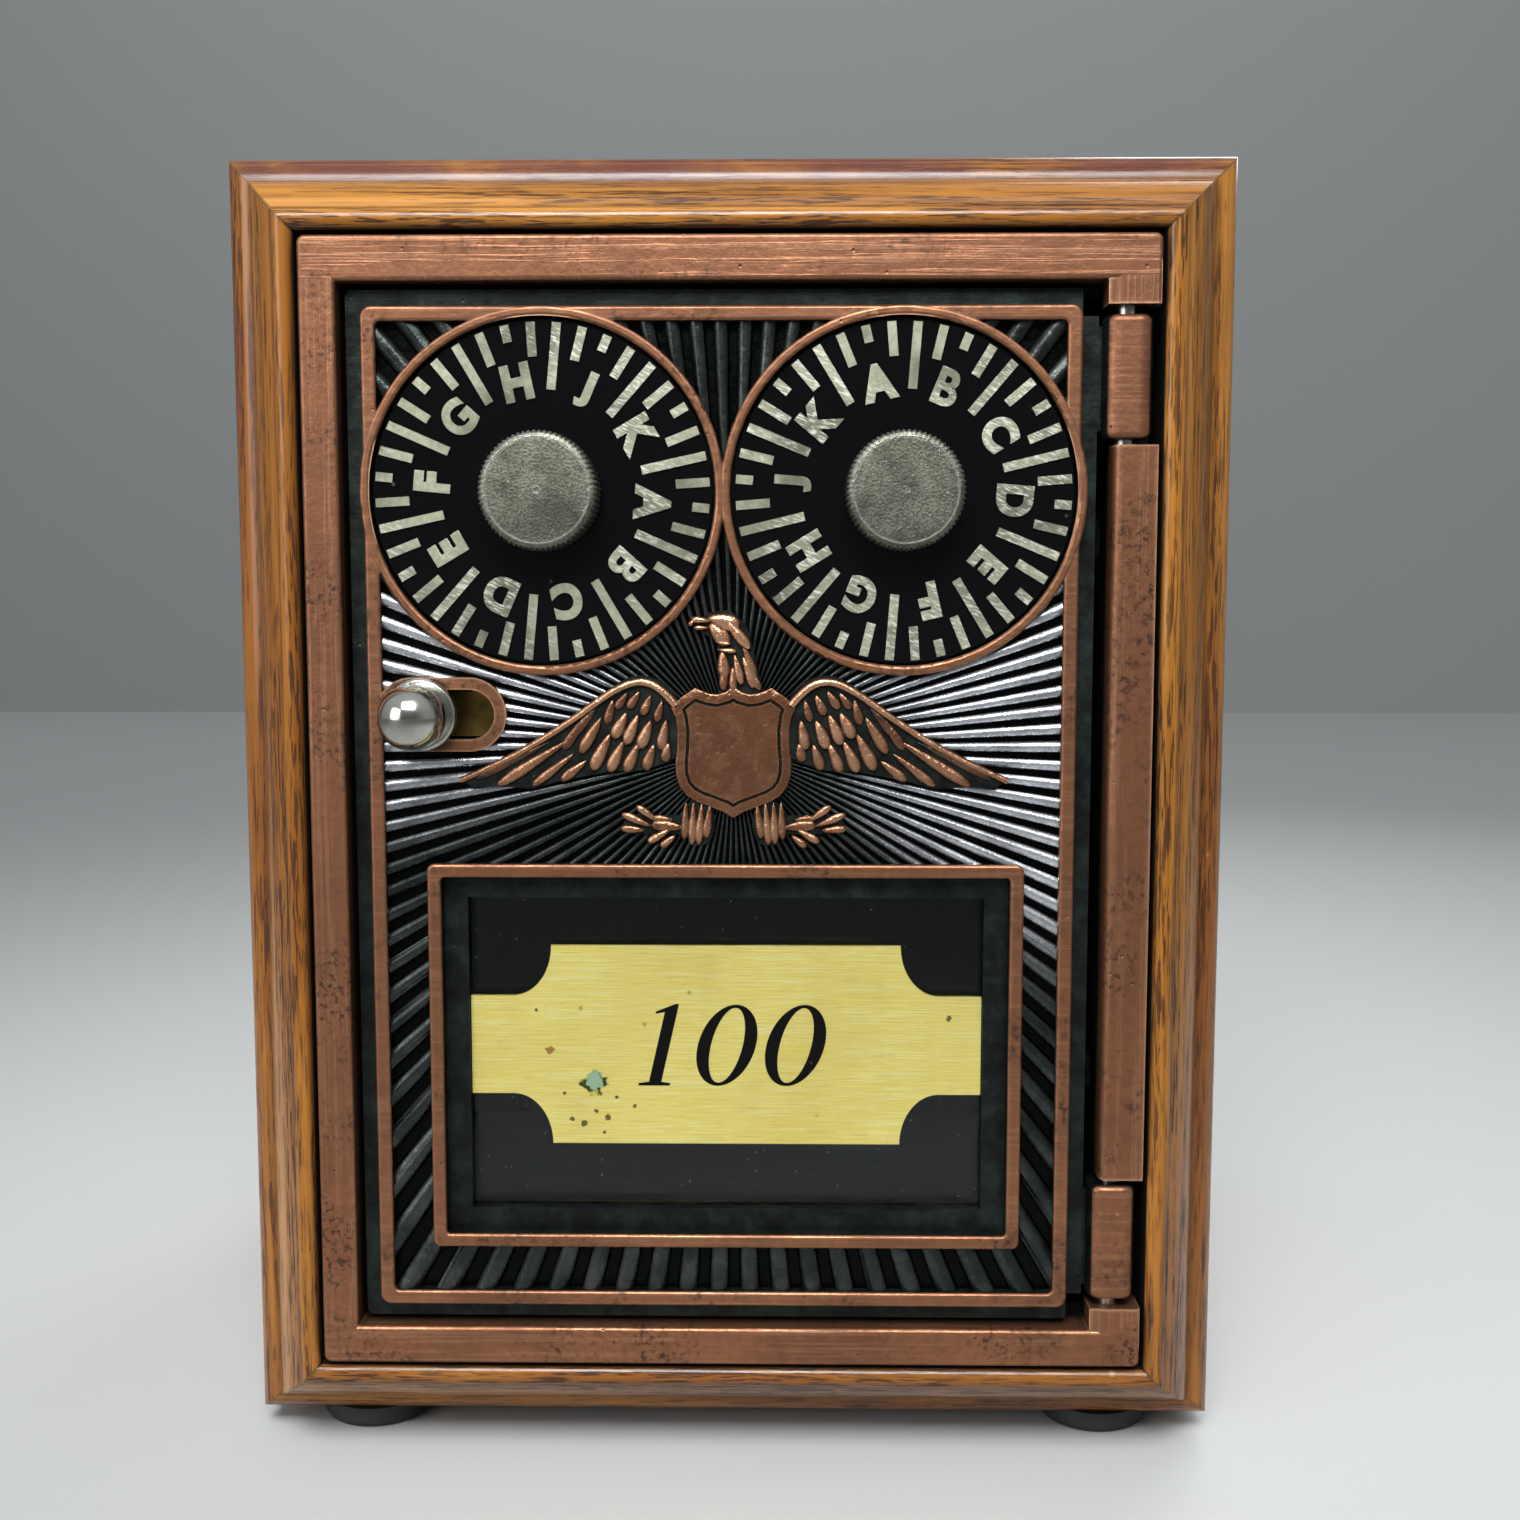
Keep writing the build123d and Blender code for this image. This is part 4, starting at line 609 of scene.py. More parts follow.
ACROSS = (40.0, 800.0, 2200.0)
UPRIGHT = (2200.0, 800.0, 40.0)
finish = {
    "oak level": oak("oak level", False),
    "oak upright": oak("oak upright", True),
    "oak back": oak("oak back", True, board=False),
    "rubber": black_rubber(),
    "screw steel": plain_steel("screw steel", colour(168, 166, 158), 0.3),
    "frame": copper_casting("copper frame", UPRIGHT, 2.0, 4.5, wear_radius=0.0007, level_bars=True),
    "door": copper_casting("copper door", ACROSS, 0.45, 0.6),
    "eagle": copper_casting("copper eagle", (400.0, 400.0, 400.0), 0.24, 0.5, wear_radius=0.0003,
                            worn=0.7, pits=0.7, crest=(0.02, 0.27), matt=0.17, grit=0.0001),
    "sunburst": sunburst_metal(),
    "pin": plain_steel("hinge pin steel", colour(186, 184, 178), 0.24),
    "glass": window_pane(),
    "plate": plate_brass(),
    "brass": dull_brass("dull lock brass", colour(168, 140, 78), colour(104, 84, 44)),
    "left dial": dial_enamel("left dial enamel", DIAL_FACE),
    "right dial": dial_enamel("right dial enamel", DIAL_FACE),
    "nickel": worn_nickel(),
    "ball": plain_steel("polished steel", colour(190, 191, 182), 0.1),
    "ink": black_ink(),
}

NODE_FINISH = {
    "box_top": "oak level", "box_bottom": "oak level", "box_left": "oak upright",
    "box_right": "oak upright", "back_panel": "oak back", "rubber_feet": "rubber",
    "back_screws": "screw steel", "foot_screws": "screw steel", "frame_screws": "screw steel",
    "retainer_screws": "screw steel", "guide_screws": "screw steel", "lock_screws": "screw steel",
    "door_frame": "frame", "door": "door", "hinge_pin_top": "pin", "hinge_pin_bottom": "pin",
    "window_glass": "glass", "number_plate": "plate", "left_dial": "left dial",
    "right_dial": "right dial", "left_knob": "nickel", "right_knob": "nickel",
    "left_spindle": "pin", "right_spindle": "pin", "latch_knob": "ball", "latch_flange": "ball",
}


def dress(thing, name):
    """Give an object one finish."""
    thing.data.materials.clear()
    thing.data.materials.append(finish[name])


for node_name, thing in frame["nodes"].items():
    dress(thing, NODE_FINISH.get(node_name, "brass"))

bpy.context.scene.view_settings.view_transform = "Standard"


# ---------------------------------------------------------------- modelling helpers
def clear_selection():
    """Select nothing, in object mode, ready to pick vertices."""
    if bpy.context.object and bpy.context.object.mode != "OBJECT":
        bpy.ops.object.mode_set(mode="OBJECT")
    bpy.ops.object.select_all(action="DESELECT")
    bpy.context.scene.tool_settings.mesh_select_mode = (True, False, False)


def pick(thing):
    """Select one object alone and make it the active one."""
    clear_selection()
    thing.select_set(True)
    bpy.context.view_layer.objects.active = thing


def edit_all():
    """Enter edit mode with the whole mesh selected."""
    bpy.ops.object.mode_set(mode="EDIT")
    bpy.ops.mesh.select_all(action="SELECT")


def face_outwards():
    """Turn the selected faces outwards and leave edit mode."""
    bpy.ops.mesh.normals_make_consistent(inside=False)
    bpy.ops.object.mode_set(mode="OBJECT")


def settle(thing):
    """Put the object's place into its mesh."""
    pick(thing)
    bpy.ops.object.transform_apply(location=True, rotation=True, scale=True)


def join(pieces, name):
    """Join objects into one with a name."""
    clear_selection()
    for piece in pieces:
        piece.select_set(True)
    bpy.context.view_layer.objects.active = pieces[0]
    bpy.ops.object.join()
    pieces[0].name = name
    pieces[0].data.name = name
    settle(pieces[0])
    return pieces[0]


def smooth(thing, limit=35.0):
    """Smooth shading, with edges sharper than the limit kept crisp."""
    pick(thing)
    bpy.ops.object.shade_smooth_by_angle(angle=radians(limit))


def belong(thing, body, name):
    """Give a finished piece its finish and its body."""
    dress(thing, name)
    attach(thing, body)
    return thing


def lobe(x0, z0, x1, z1, width, base, rise, root=0.5, lift=0.35):
    """A feather or claw: a long ridge with a blunt raised tip, narrower at its root."""
    length = hypot(x1 - x0, z1 - z0) * MM
    clear_selection()
    bpy.ops.mesh.primitive_uv_sphere_add(segments=14, ring_count=10, radius=1.0)
    piece = bpy.context.object
    for vertex in piece.data.vertices:
        along = (vertex.co.z + 1) / 2
        blunt = ((1 - abs(vertex.co.z) ** 3) / max(1 - vertex.co.z ** 2, 0.001)) ** 0.5
        vertex.co.x *= (root + (1 - root) * min(1.0, along * 1.5)) * blunt
        vertex.co.y = vertex.co.y * blunt - lift * along
    piece.scale = (width * MM / 2, rise * MM / (1 + lift * 0.7), length / 2)
    piece.rotation_euler = (0.0, atan2(x1 - x0, z1 - z0), 0.0)
    piece.location = at((x0 + x1) / 2, (z0 + z1) / 2, base)
    settle(piece)
    return piece


# ---------------------------------------------------------------- camera, light, floor
FRAME_SIDE = 1520.0        # side of the square picture, and the lens's focal length, in pixels
FOCAL_LENGTH = 1700.0


def aim_camera():
    """The camera, in front of the door and a little above its middle."""
    data = bpy.data.cameras.new("camera")
    data.sensor_width = 36.0
    data.lens = FOCAL_LENGTH / FRAME_SIDE * data.sensor_width
    camera = bpy.data.objects.new("camera", data)
    bpy.context.scene.collection.objects.link(camera)
    camera.location = at(6.0, 23.7, -181.2)
    camera.rotation_euler = (radians(90 - 5.52), 0.0, radians(0.85))
    bpy.context.scene.camera = camera
    data.clip_start = 0.01


def area_light(name, place, target, size, power, spread, tint=(1.0, 1.0, 1.0)):
    """A soft rectangular light aimed at a point."""
    data = bpy.data.lights.new(name, "AREA")
    data.shape = "RECTANGLE"
    data.size, data.size_y = size
    data.energy = power
    data.spread = radians(spread)
    data.color = tint
    light = bpy.data.objects.new(name, data)
    bpy.context.scene.collection.objects.link(light)
    light.location = place
    light.rotation_euler = (Vector(target) - Vector(place)).to_track_quat("-Z", "Y").to_euler()


def light_scene():
    """A pale room: a cool window light above the door, a fill, a back light, a lamp for the wall."""
    world = bpy.data.worlds.new("pale room")
    world.use_nodes = True
    tree = world.node_tree
    toward = add(tree, "ShaderNodeSeparateXYZ",
                 {0: tree.nodes.new("ShaderNodeTexCoord").outputs["Generated"]}).outputs
    back = tree.nodes["Background"]
    back.inputs["Color"].default_value = (0.86, 0.89, 0.92, 1.0)
    ahead = span(tree, toward["Y"], -0.5, -0.95, 0.42, 0.16)
    tree.links.new(calc(tree, "ADD", ahead, span(tree, toward["Z"], 0.1, 0.9, 0.0, 0.25)),
                   back.inputs["Strength"])
    bpy.context.scene.world = world
    middle = at(0.0, 0.0, 0.0)
    area_light("window", (-0.02, -0.39, 0.44), at(0.0, 30.0, 0.0), (0.4, 0.22), 0.66, 50.0,
               (0.98, 0.99, 1.0))
    area_light("fill", (-0.5, -0.5, 0.25), middle, (0.4, 0.4), 0.3, 60.0)
    area_light("behind", (0.35, 0.6, 0.5), middle, (0.4, 0.4), 0.6, 80.0)
    area_light("wall", (0.0, 0.3, 1.3), (0.0, 1.2, 0.5), (1.2, 0.3), 4.0, 150.0)


def lay_floor():
    """A plain pale floor, and a wall behind it."""
    clear_selection()
    bpy.ops.mesh.primitive_plane_add(size=8.0, location=(0.0, 0.0, 0.0))
    floor = bpy.context.object
    floor.name = "floor"
    material, tree, shader, place = begin("pale floor")
    wire(tree, shader, Base_Color=(0.43, 0.44, 0.44), Roughness=0.7)
    floor.data.materials.append(material)
    clear_selection()
    bpy.ops.mesh.primitive_plane_add(size=8.0, location=(0.0, 1.2, 3.9), rotation=(pi / 2, 0.0, 0.0))
    wall = bpy.context.object
    wall.name = "wall"
    wall.data.materials.append(material)


# ---------------------------------------------------------------- sunburst
PANEL = (-37.4, 35.7, -53.2, 52.6)      # low x, high x, low z, high z of the ribbed panel
RIB_COUNT = 110
RIB_INNER_R = 5.6
RIB_OUTER_R = 78.0
RIB_BODY = 0.9             # how thick the ribbed sheet is made, before its back is trimmed
# across half a rib: angle from its middle as a share of the pitch, and depth near and far out
RIB_PROFILE = ((0.0, 0.98, 0.64), (0.14, 1.0, 0.78), (0.27, 1.08, 1.08), (0.34, 1.66, 1.66),
               (0.5, 1.66, 1.66))
WINDOW_CUT = (-31.6, 30.6, -46.8, -6.4)
DIAL_CUT_R = 18.8
LATCH_CUT = (-38.0, -24.9, 8.6, 13.4)


def slab(name, low_x, high_x, low_z, high_z, near, far):
    """A plain block used to trim other pieces."""
    clear_selection()
    bpy.ops.mesh.primitive_cube_add(size=1.0, location=at((low_x + high_x) / 2, (low_z + high_z) / 2,
                                                          (near + far) / 2))
    block = bpy.context.object
    block.name = name
    block.scale = ((high_x - low_x) * MM, (far - near) * MM, (high_z - low_z) * MM)
    settle(block)
    return block


def trim(thing, cutter, operation):
    """Boolean with a cutter, which is then deleted."""
    pick(thing)
    modifier = thing.modifiers.new("trim", "BOOLEAN")
    modifier.operation = operation
    modifier.object = cutter
    modifier.solver = "EXACT"
    bpy.ops.object.modifier_apply(modifier=modifier.name)
    bpy.data.objects.remove(cutter)


def model_sunburst():
    """Ribs that fan out from behind the eagle, with rounded crests and flat-bottomed grooves."""
    steps = 2 * len(RIB_PROFILE) - 2
    total = RIB_COUNT * steps
    clear_selection()
    bpy.ops.mesh.primitive_circle_add(vertices=total, radius=RIB_INNER_R)
    ribs = bpy.context.object
    ribs.name = "sunburst_ribs"
    edit_all()
    bpy.ops.mesh.extrude_region_move()
    bpy.ops.transform.resize(value=(RIB_OUTER_R / RIB_INNER_R,) * 3)
    bpy.ops.object.mode_set(mode="OBJECT")
    pitch = 2 * pi / RIB_COUNT
    middle = len(RIB_PROFILE) - 1
    for vertex in ribs.data.vertices:
        radius = vertex.co.length
        order = round(atan2(vertex.co.y, vertex.co.x) / (2 * pi) * total) % total
        rib, step = divmod(order, steps)
        side = step - middle
        share, near, far = RIB_PROFILE[abs(side)]
        angle = rib * pitch + (share if side > 0 else -share) * pitch
        vertex.co = at(BURST_X + radius * cos(angle), BURST_Z + radius * sin(angle),
                       far if radius > 2 * RIB_INNER_R else near)
    pick(ribs)
    edit_all()
    bpy.ops.mesh.extrude_region_move(TRANSFORM_OT_translate={"value": (0.0, RIB_BODY * MM, 0.0)})
    bpy.ops.mesh.select_all(action="SELECT")
    bpy.ops.mesh.quads_convert_to_tris()
    face_outwards()
    trim(ribs, slab("panel cut", *PANEL, -2.0, 1.85), "INTERSECT")
    trim(ribs, slab("window cut", *WINDOW_CUT, -2.0, 4.0), "DIFFERENCE")
    trim(ribs, slab("latch cut", *LATCH_CUT, -2.0, 4.0), "DIFFERENCE")
    for centre in (LEFT_CENTRE, RIGHT_CENTRE):
        clear_selection()
        bpy.ops.mesh.primitive_cylinder_add(vertices=96, radius=DIAL_CUT_R * MM, depth=0.01,
                                            location=centre, rotation=(pi / 2, 0.0, 0.0))
        cutter = bpy.context.object
        settle(cutter)
        trim(ribs, cutter, "DIFFERENCE")
    settle(ribs)
    smooth(ribs, 38.0)
    return belong(ribs, "door_leaf", "sunburst")


# ---------------------------------------------------------------- eagle
EAGLE_BASE = 0.6           # depth of the flat relief that the feathers stand on
# in these tables x is from the eagle's middle and z from the door frame's, millimetres
WING_EDGE = ((6.2, 12.0), (7.7, 13.9), (10.2, 14.75), (13.2, 13.4), (16.8, 10.7), (21.3, 7.8),
             (25.8, 5.4), (29.4, 3.9))
# raised parts: root, tip, width, rise
FEATHERS = (
    (11.3, 13.4, 12.6, 11.6, 1.1, 0.36), (10.0, 13.6, 11.3, 11.6, 1.15, 0.42),
    (8.8, 13.2, 9.8, 10.9, 1.2, 0.45), (7.6, 12.6, 8.3, 10.2, 1.1, 0.4),
    (12.9, 12.7, 13.6, 9.9, 1.2, 0.4), (11.4, 11.3, 12.9, 8.4, 1.6, 0.54),
    (10.2, 11.1, 11.6, 7.7, 1.5, 0.56), (8.8, 10.5, 10.1, 7.3, 1.6, 0.56),
    (7.2, 10.5, 7.8, 7.2, 1.45, 0.5), (14.1, 10.8, 16.5, 6.8, 1.45, 0.5),
    (13.2, 9.0, 15.2, 5.0, 1.65, 0.54), (11.8, 8.2, 13.4, 4.8, 1.55, 0.55),
    (10.2, 8.0, 11.6, 4.8, 1.5, 0.52), (8.5, 7.9, 9.5, 5.0, 1.4, 0.48),
    (7.0, 8.0, 7.4, 5.9, 1.3, 0.42), (14.6, 11.8, 17.6, 8.4, 1.2, 0.3),
    (16.0, 10.6, 18.3, 7.2, 1.25, 0.34), (17.8, 8.2, 25.5, 3.3, 1.4, 0.5),
    (17.0, 6.9, 21.7, 3.3, 1.15, 0.48), (15.7, 6.1, 18.6, 3.9, 1.2, 0.48),
    (19.6, 8.1, 27.8, 4.0, 1.0, 0.28),
)
LEGS = (
    (2.5, 1.4, 3.0, -2.4, 1.05, 0.46), (3.4, 1.6, 3.8, -3.1, 1.1, 0.52),
    (4.3, 1.7, 4.5, -3.1, 1.1, 0.52), (5.1, 1.7, 5.3, -2.5, 1.05, 0.46),
    (5.3, -1.2, 8.9, -0.9, 1.4, 0.42), (8.0, -0.6, 10.5, 1.2, 1.0, 0.52),
    (8.7, -1.1, 12.1, 0.3, 1.05, 0.5), (9.4, -1.5, 12.2, -1.3, 1.0, 0.46),
    (6.8, -1.4, 9.3, -2.8, 1.05, 0.52), (6.2, -2.0, 7.9, -3.3, 1.0, 0.5),
    (6.4, -0.4, 8.8, -0.2, 1.0, 0.4),
)
HEAD = (
    (-2.8, 21.4, 0.7, 20.5, 2.0, 0.66), (-1.3, 21.8, 1.8, 18.0, 1.35, 0.8),       # skull, crest
    (-2.6, 20.8, -0.5, 18.5, 1.9, 0.58), (0.9, 18.8, 2.4, 15.0, 1.0, 0.46),       # cheek, nape
    (-2.3, 21.0, -4.5, 21.2, 0.85, 0.6), (-4.0, 21.3, -4.75, 20.5, 0.6, 0.5),     # upper beak, hook
    (-2.5, 20.3, -4.2, 20.3, 0.65, 0.44), (-1.35, 19.95, -0.95, 19.55, 0.5, 0.8),  # lower beak, eye
    (-1.9, 18.75, -0.2, 18.6, 0.5, 0.68), (-1.8, 18.0, 0.4, 17.8, 0.65, 0.7),     # collar
    (-1.2, 18.0, -0.9, 14.9, 1.5, 0.52), (-0.9, 16.6, -1.1, 13.6, 1.1, 0.44),     # throat, neck
    (0.1, 17.6, 0.9, 14.2, 1.1, 0.58), (1.0, 17.3, 2.2, 13.8, 1.1, 0.54),
    (-0.1, 16.2, 0.0, 13.4, 1.0, 0.5), (1.7, 16.0, 2.9, 13.6, 0.9, 0.44),
)
SHIELD = (
    (0.0, -0.2), (1.1, 0.5), (2.4, 1.0), (3.8, 1.5), (5.0, 2.2), (5.8, 3.2), (6.2, 4.5),
    (6.25, 5.9), (6.1, 7.5), (6.05, 9.2), (6.25, 10.7), (6.75, 11.8), (5.6, 12.9), (4.1, 13.95),
    (3.4, 13.6), (2.6, 13.3), (1.8, 13.2), (0.9, 13.45), (0.0, 14.1),
)


def raised(table, side=1):
    """Lobes from a table, mirrored where side is -1."""
    return [lobe(BURST_X + side * x0, z0, BURST_X + side * x1, z1, width, EAGLE_BASE, rise)
            for x0, z0, x1, z1, width, rise in table]


def bar(points, depth, radius, end_radius):
    """A round bar through points on the front, thinner towards its far end."""
    clear_selection()
    data = bpy.data.curves.new("bar", "CURVE")
    data.dimensions = "3D"
    data.bevel_depth = MM
    data.bevel_resolution = 3
    data.use_fill_caps = True
    spline = data.splines.new("NURBS")
    spline.points.add(len(points) - 1)
    for index, (x, z) in enumerate(points):
        spline.points[index].co = (*at(x, z, depth), 1.0)
        share = index / (len(points) - 1)
        spline.points[index].radius = radius + (end_radius - radius) * share
    spline.order_u = 3
    spline.use_endpoint_u = True
    spline.resolution_u = 8
    thing = bpy.data.objects.new("bar", data)
    bpy.context.scene.collection.objects.link(thing)
    thing.select_set(True)
    bpy.context.view_layer.objects.active = thing
    bpy.ops.object.convert(target="MESH")
    return bpy.context.object


def plate_outline(name, outline, near, far):
    """A flat plate of an outline on the front, as a closed solid."""
    mesh = bpy.data.meshes.new(name)
    mesh.from_pydata([at(x, z, far) for x, z in outline], [], [tuple(range(len(outline)))])
    thing = bpy.data.objects.new(name, mesh)
    bpy.context.scene.collection.objects.link(thing)
    pick(thing)
    edit_all()
    bpy.ops.mesh.extrude_region_move(TRANSFORM_OT_translate={"value": (0.0, (near - far) * MM, 0.0)})
    bpy.ops.mesh.select_all(action="SELECT")
    face_outwards()
    return thing


def select_front(thing):
    """In edit mode, select the face that looks forwards."""
    bpy.ops.object.mode_set(mode="OBJECT")
    for part in (*thing.data.vertices, *thing.data.edges):
        part.select = False
    for face in thing.data.polygons:
        face.select = face.normal.y < -0.9
    bpy.ops.object.mode_set(mode="EDIT")
    bpy.ops.mesh.select_mode(type="FACE")


def model_shield():
    """The bare shield, with a groove that follows its edge."""
    right = [(BURST_X + x, z) for x, z in SHIELD]
    left = [(BURST_X - x, z) for x, z in SHIELD[-2:0:-1]]
    shield = plate_outline("shield", right + left, 0.27, 0.7)
    select_front(shield)
    bpy.ops.mesh.inset(thickness=1.0 * MM, depth=0.0)
    bpy.ops.mesh.inset(thickness=0.12 * MM, depth=-0.2 * MM)
    bpy.ops.mesh.inset(thickness=0.14 * MM, depth=0.0)
    bpy.ops.mesh.inset(thickness=0.12 * MM, depth=0.2 * MM)
    bpy.ops.object.mode_set(mode="OBJECT")
    bevel = shield.modifiers.new("round", "BEVEL")
    bevel.width = 0.2 * MM
    bevel.segments = 3
    bevel.limit_method = "ANGLE"
    bevel.angle_limit = radians(60.0)
    bpy.ops.object.modifier_apply(modifier=bevel.name)
    return shield


def model_eagle():
    """The spread eagle in relief: bars along the wings, rows of lobed feathers, head and feet."""
    pieces = raised(HEAD) + [model_shield()]
    for side in (-1, 1):
        edge = [(BURST_X + side * x, z) for x, z in WING_EDGE]
        pieces += [bar(edge, EAGLE_BASE - 0.08, 0.52, 0.36)]
        pieces += raised(FEATHERS, side) + raised(LEGS, side)
    eagle = join(pieces, "eagle_relief")
    smooth(eagle, 50.0)
    return belong(eagle, "door_leaf", "eagle")


# ---------------------------------------------------------------- dial letters, plate number
LETTERS = "ABCDEFGHJK"
LETTER_H = 3.96
LETTER_R = 11.76
LETTER_RISE = 0.22
# at a type size of 1: half the thickness, the bevel, and how far the outline is made heavier
LETTER_HALF = 0.03
LETTER_BEVEL = 0.006
LETTER_BOLD = 0.056
LETTER_WEIGHT = {"B": 0.03, "G": 0.044}    # less where the outline would close up
LETTER_WIDTH = 0.91        # share of the type's own width, and the letter that is wider
LETTER_SPREAD = {"J": 1.15}
LEFT_A = 95.5              # degrees clockwise from the top to the A
RIGHT_A = -13.5


def letter(sign, centre, angle):
    """One raised capital on a dial, its top outwards."""
    clear_selection()
    bpy.ops.object.text_add()
    text = bpy.context.object
    text.data.body = sign
    text.data.align_x = "CENTER"
    text.data.align_y = "CENTER"
    text.data.size = 1.0
    text.data.offset = LETTER_WEIGHT.get(sign, LETTER_BOLD)
    text.data.extrude = LETTER_HALF
    text.data.bevel_depth = LETTER_BEVEL
    text.data.bevel_resolution = 1
    bpy.ops.object.convert(target="MESH")
    text = bpy.context.object
    low = min(vertex.co.y for vertex in text.data.vertices)
    high = max(vertex.co.y for vertex in text.data.vertices)
    left = min(vertex.co.x for vertex in text.data.vertices)
    right = max(vertex.co.x for vertex in text.data.vertices)
    scale = LETTER_H * MM / (high - low)
    for vertex in text.data.vertices:
        vertex.co.x = (vertex.co.x - (left + right) / 2) * scale * LETTER_SPREAD.get(sign, LETTER_WIDTH)
        vertex.co.y = (vertex.co.y - (low + high) / 2) * scale
        vertex.co.z = vertex.co.z * LETTER_RISE * MM / (LETTER_HALF + LETTER_BEVEL)
    turn = radians(angle)
    text.rotation_euler = (pi / 2, turn, 0.0)
    text.location = Vector((centre.x + LETTER_R * MM * sin(turn), FACE_Y + DIAL_FACE * MM,
                            centre.z + LETTER_R * MM * cos(turn)))
    settle(text)
    return text


def model_letters(name, centre, first, body, finish_name):
    """All the capitals of one dial, clockwise."""
    pitch = 360.0 / len(LETTERS)
    letters = join([letter(sign, centre, first + pitch * step) for step, sign in enumerate(LETTERS)],
                   name)
    return belong(letters, body, finish_name)


NOUGHT_HALF = (2.95, 4.35)         # half its width and height, outside and in the hole
NOUGHT_HOLE = (1.62, 4.02)
NOUGHT_XS = (-0.35, 6.6)
NUMBER_Z = -25.7
NUMBER_DEPTH = 2.47
NUMBER_WIDEN = 1.09        # how much wider it is made
NUMBER_LEAN = 0.24         # shares of the height: how far it leans, and how much taller it is made
NUMBER_STRETCH = 0.05


def ring_digit(name, x, z, depth):
    """An upright nought with thick sides, before it is leaned over."""
    clear_selection()
    bpy.ops.mesh.primitive_circle_add(vertices=64, radius=1.0)
    nought = bpy.context.object
    edit_all()
    bpy.ops.mesh.extrude_region_move()
    bpy.ops.transform.resize(value=(NOUGHT_HOLE[0] / NOUGHT_HALF[0],
                                    NOUGHT_HOLE[1] / NOUGHT_HALF[1], 1.0))
    bpy.ops.object.mode_set(mode="OBJECT")
    for vertex in nought.data.vertices:
        vertex.co = at(x + vertex.co.x * NOUGHT_HALF[0], z + vertex.co.y * NOUGHT_HALF[1], depth)
    return nought


def print_number():
    """The box number, printed in a slanting face with serifs."""
    noughts = [ring_digit("nought", x, NUMBER_Z, NUMBER_DEPTH) for x in NOUGHT_XS]
    one = ((-8.4, -4.35), (-5.2, -4.35), (-5.2, -4.1), (-6.15, -3.95), (-6.15, 4.4), (-6.5, 4.4),
           (-8.3, 3.6), (-8.3, 3.35), (-7.4, 3.55), (-7.4, -3.95), (-8.4, -4.1))
    mesh = bpy.data.meshes.new("one")
    mesh.from_pydata([at(x, NUMBER_Z + up, NUMBER_DEPTH) for x, up in one], [],
                     [tuple(range(len(one)))])
    figure = bpy.data.objects.new("one", mesh)
    bpy.context.scene.collection.objects.link(figure)
    number = join(noughts + [figure], "plate_number")
    for vertex in number.data.vertices:
        up = vertex.co.z - MID_Z - NUMBER_Z * MM
        vertex.co.x = vertex.co.x * NUMBER_WIDEN + NUMBER_LEAN * up
        vertex.co.z += NUMBER_STRETCH * up
    thickness = number.modifiers.new("ink", "SOLIDIFY")
    thickness.thickness = 0.03 * MM
    thickness.offset = 0.0
    pick(number)
    bpy.ops.object.modifier_apply(modifier=thickness.name)
    return belong(number, "door_leaf", "ink")


# ---------------------------------------------------------------- dial knobs
KNURLS = 68
KNURL_DEPTH = 0.22
KNOB_R = 6.25
KNOB_H = 4.6


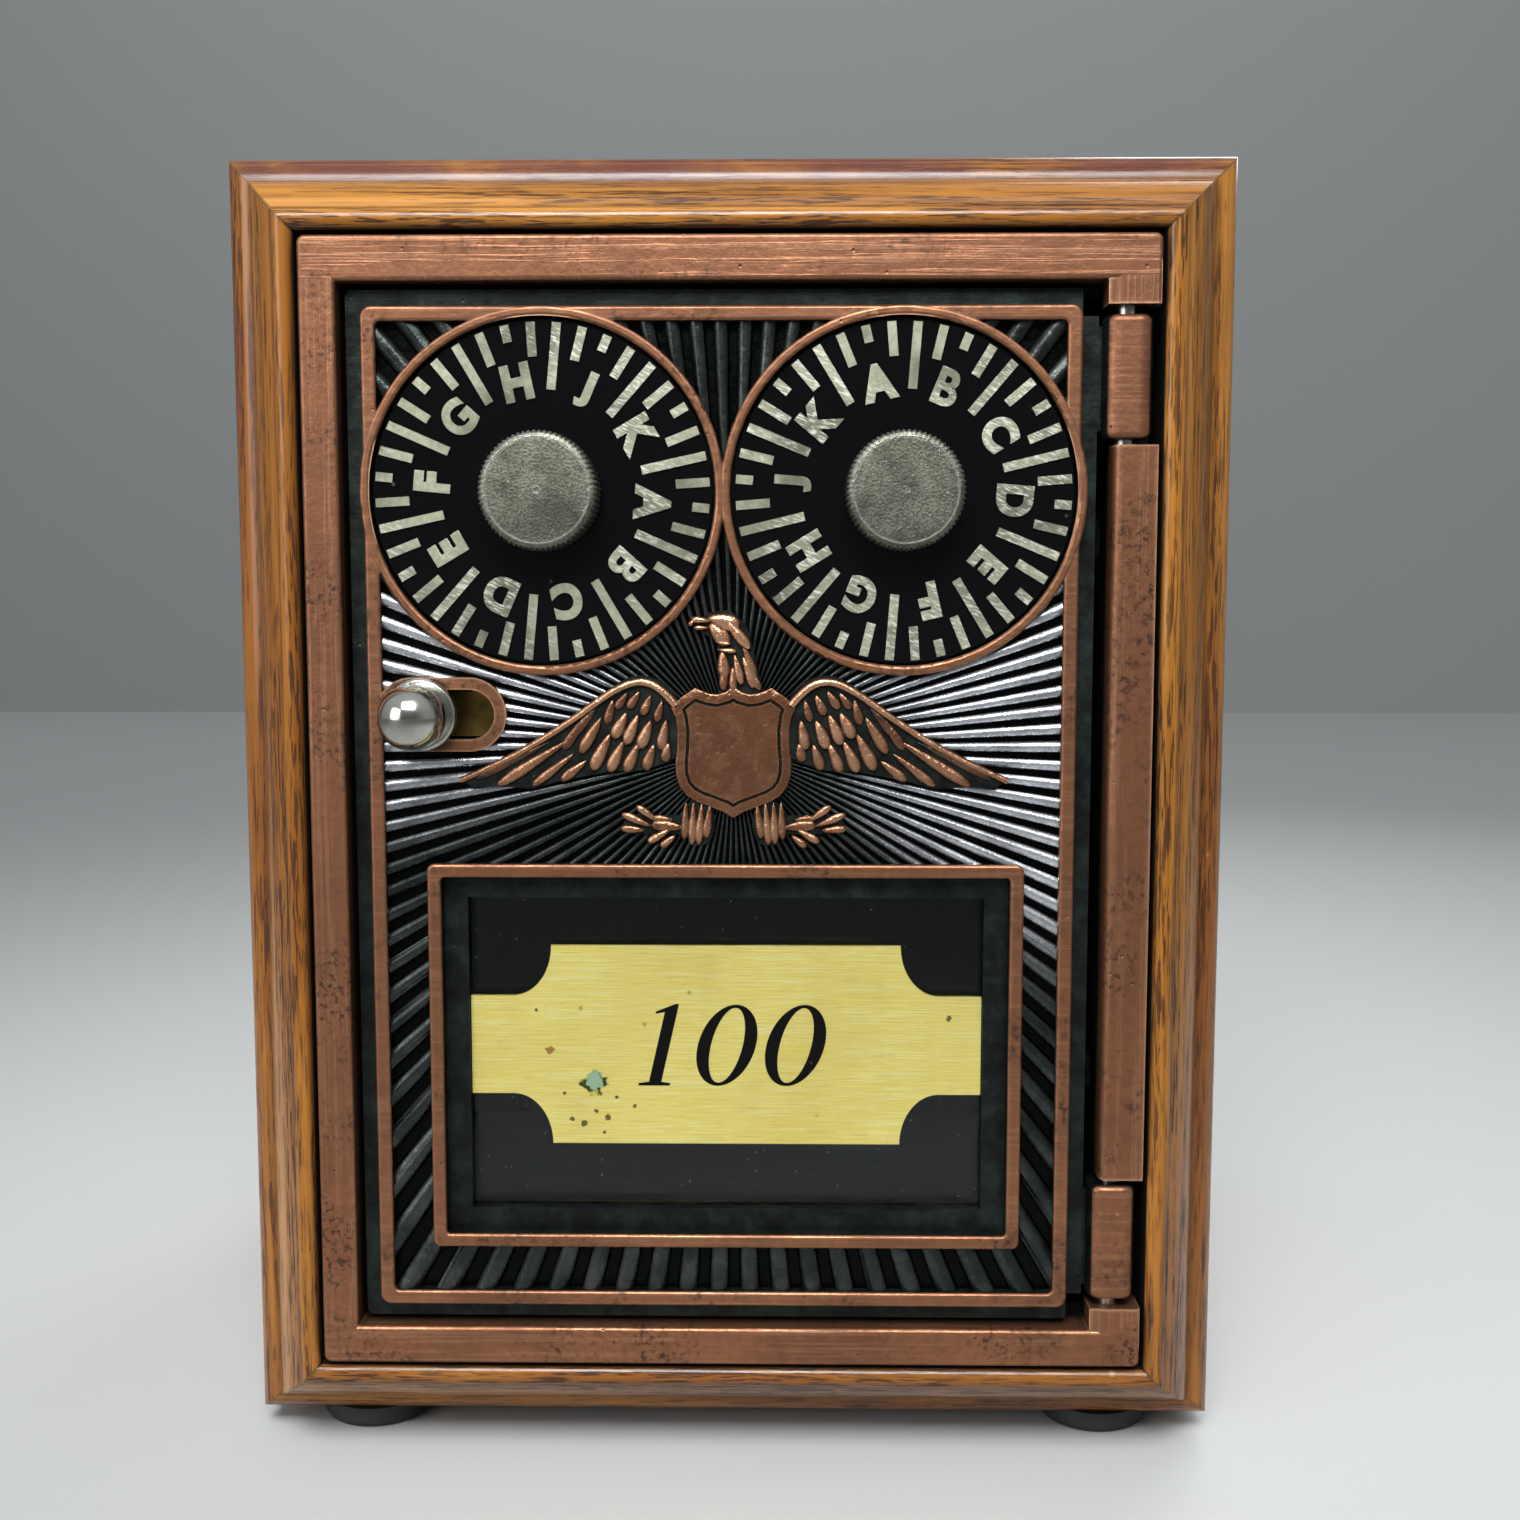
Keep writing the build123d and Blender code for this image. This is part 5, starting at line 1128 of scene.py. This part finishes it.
def turned(centre, loops, steps):
    """A turned shape about an axis along Y: loops of (radius, depth) in millimetres."""
    clear_selection()
    radius, depth = loops[0]
    bpy.ops.mesh.primitive_circle_add(vertices=steps, radius=radius * MM, rotation=(pi / 2, 0.0, 0.0),
                                      location=(centre.x, FACE_Y + depth * MM, centre.z))
    shape = bpy.context.object
    settle(shape)
    edit_all()
    for next_radius, next_depth in loops[1:]:
        bpy.ops.mesh.extrude_region_move(
            TRANSFORM_OT_translate={"value": (0.0, (next_depth - depth) * MM, 0.0)})
        bpy.ops.transform.resize(value=(next_radius / radius, 1.0, next_radius / radius))
        radius, depth = next_radius, next_depth
    bpy.ops.mesh.edge_face_add()
    bpy.ops.object.mode_set(mode="OBJECT")
    return shape


def model_knob(name, centre, body, node):
    """A knurled knob with a rounded rim and a centre punch mark."""
    steps = KNURLS * 4
    face = DIAL_FACE - KNOB_H
    # radius, depth, how deep the knurl is there
    loops = ((KNOB_R, DIAL_FACE, 1.0), (KNOB_R, face + 0.62, 1.0), (KNOB_R - 0.1, face + 0.34, 0.9),
             (KNOB_R - 0.3, face + 0.13, 0.55), (KNOB_R - 0.55, face + 0.04, 0.2),
             (KNOB_R - 0.75, face + 0.02, 0.0), (KNOB_R - 0.83, face + 0.12, 0.0),
             (KNOB_R - 1.0, face + 0.11, 0.0), (2.0, face + 0.1, 0.0),
             (0.34, face + 0.09, 0.0), (0.2, face + 0.22, 0.0))
    knob = turned(centre, [(radius, depth) for radius, depth, knurl in loops], steps)
    cut = {round(depth, 4): knurl for radius, depth, knurl in loops}
    for vertex in knob.data.vertices:
        across, up = vertex.co.x - centre.x, vertex.co.z - centre.z
        step = round(atan2(up, across) / (2 * pi) * steps) % 4
        knurl = cut[round((vertex.co.y - FACE_Y) / MM, 4)] if hypot(across, up) > 3 * MM else 0.0
        deep = KNURL_DEPTH * knurl * (1.0, 0.35, 0.0, 0.35)[step]
        share = 1 - deep * MM / hypot(across, up)
        vertex.co.x = centre.x + across * share
        vertex.co.z = centre.z + up * share
    pick(knob)
    edit_all()
    face_outwards()
    knob.name = name
    knob.data.name = name
    smooth(knob, 30.0)
    belong(knob, body, "nickel")
    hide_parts(node)
    return knob


model_sunburst()
model_eagle()
model_letters("left_letters", LEFT_CENTRE, LEFT_A, "dial_left", "left dial")
model_letters("right_letters", RIGHT_CENTRE, RIGHT_A, "dial_right", "right dial")
print_number()
model_knob("left_knurled_knob", LEFT_CENTRE, "dial_left", "left_knob")
model_knob("right_knurled_knob", RIGHT_CENTRE, "dial_right", "right_knob")


aim_camera()
light_scene()
lay_floor()
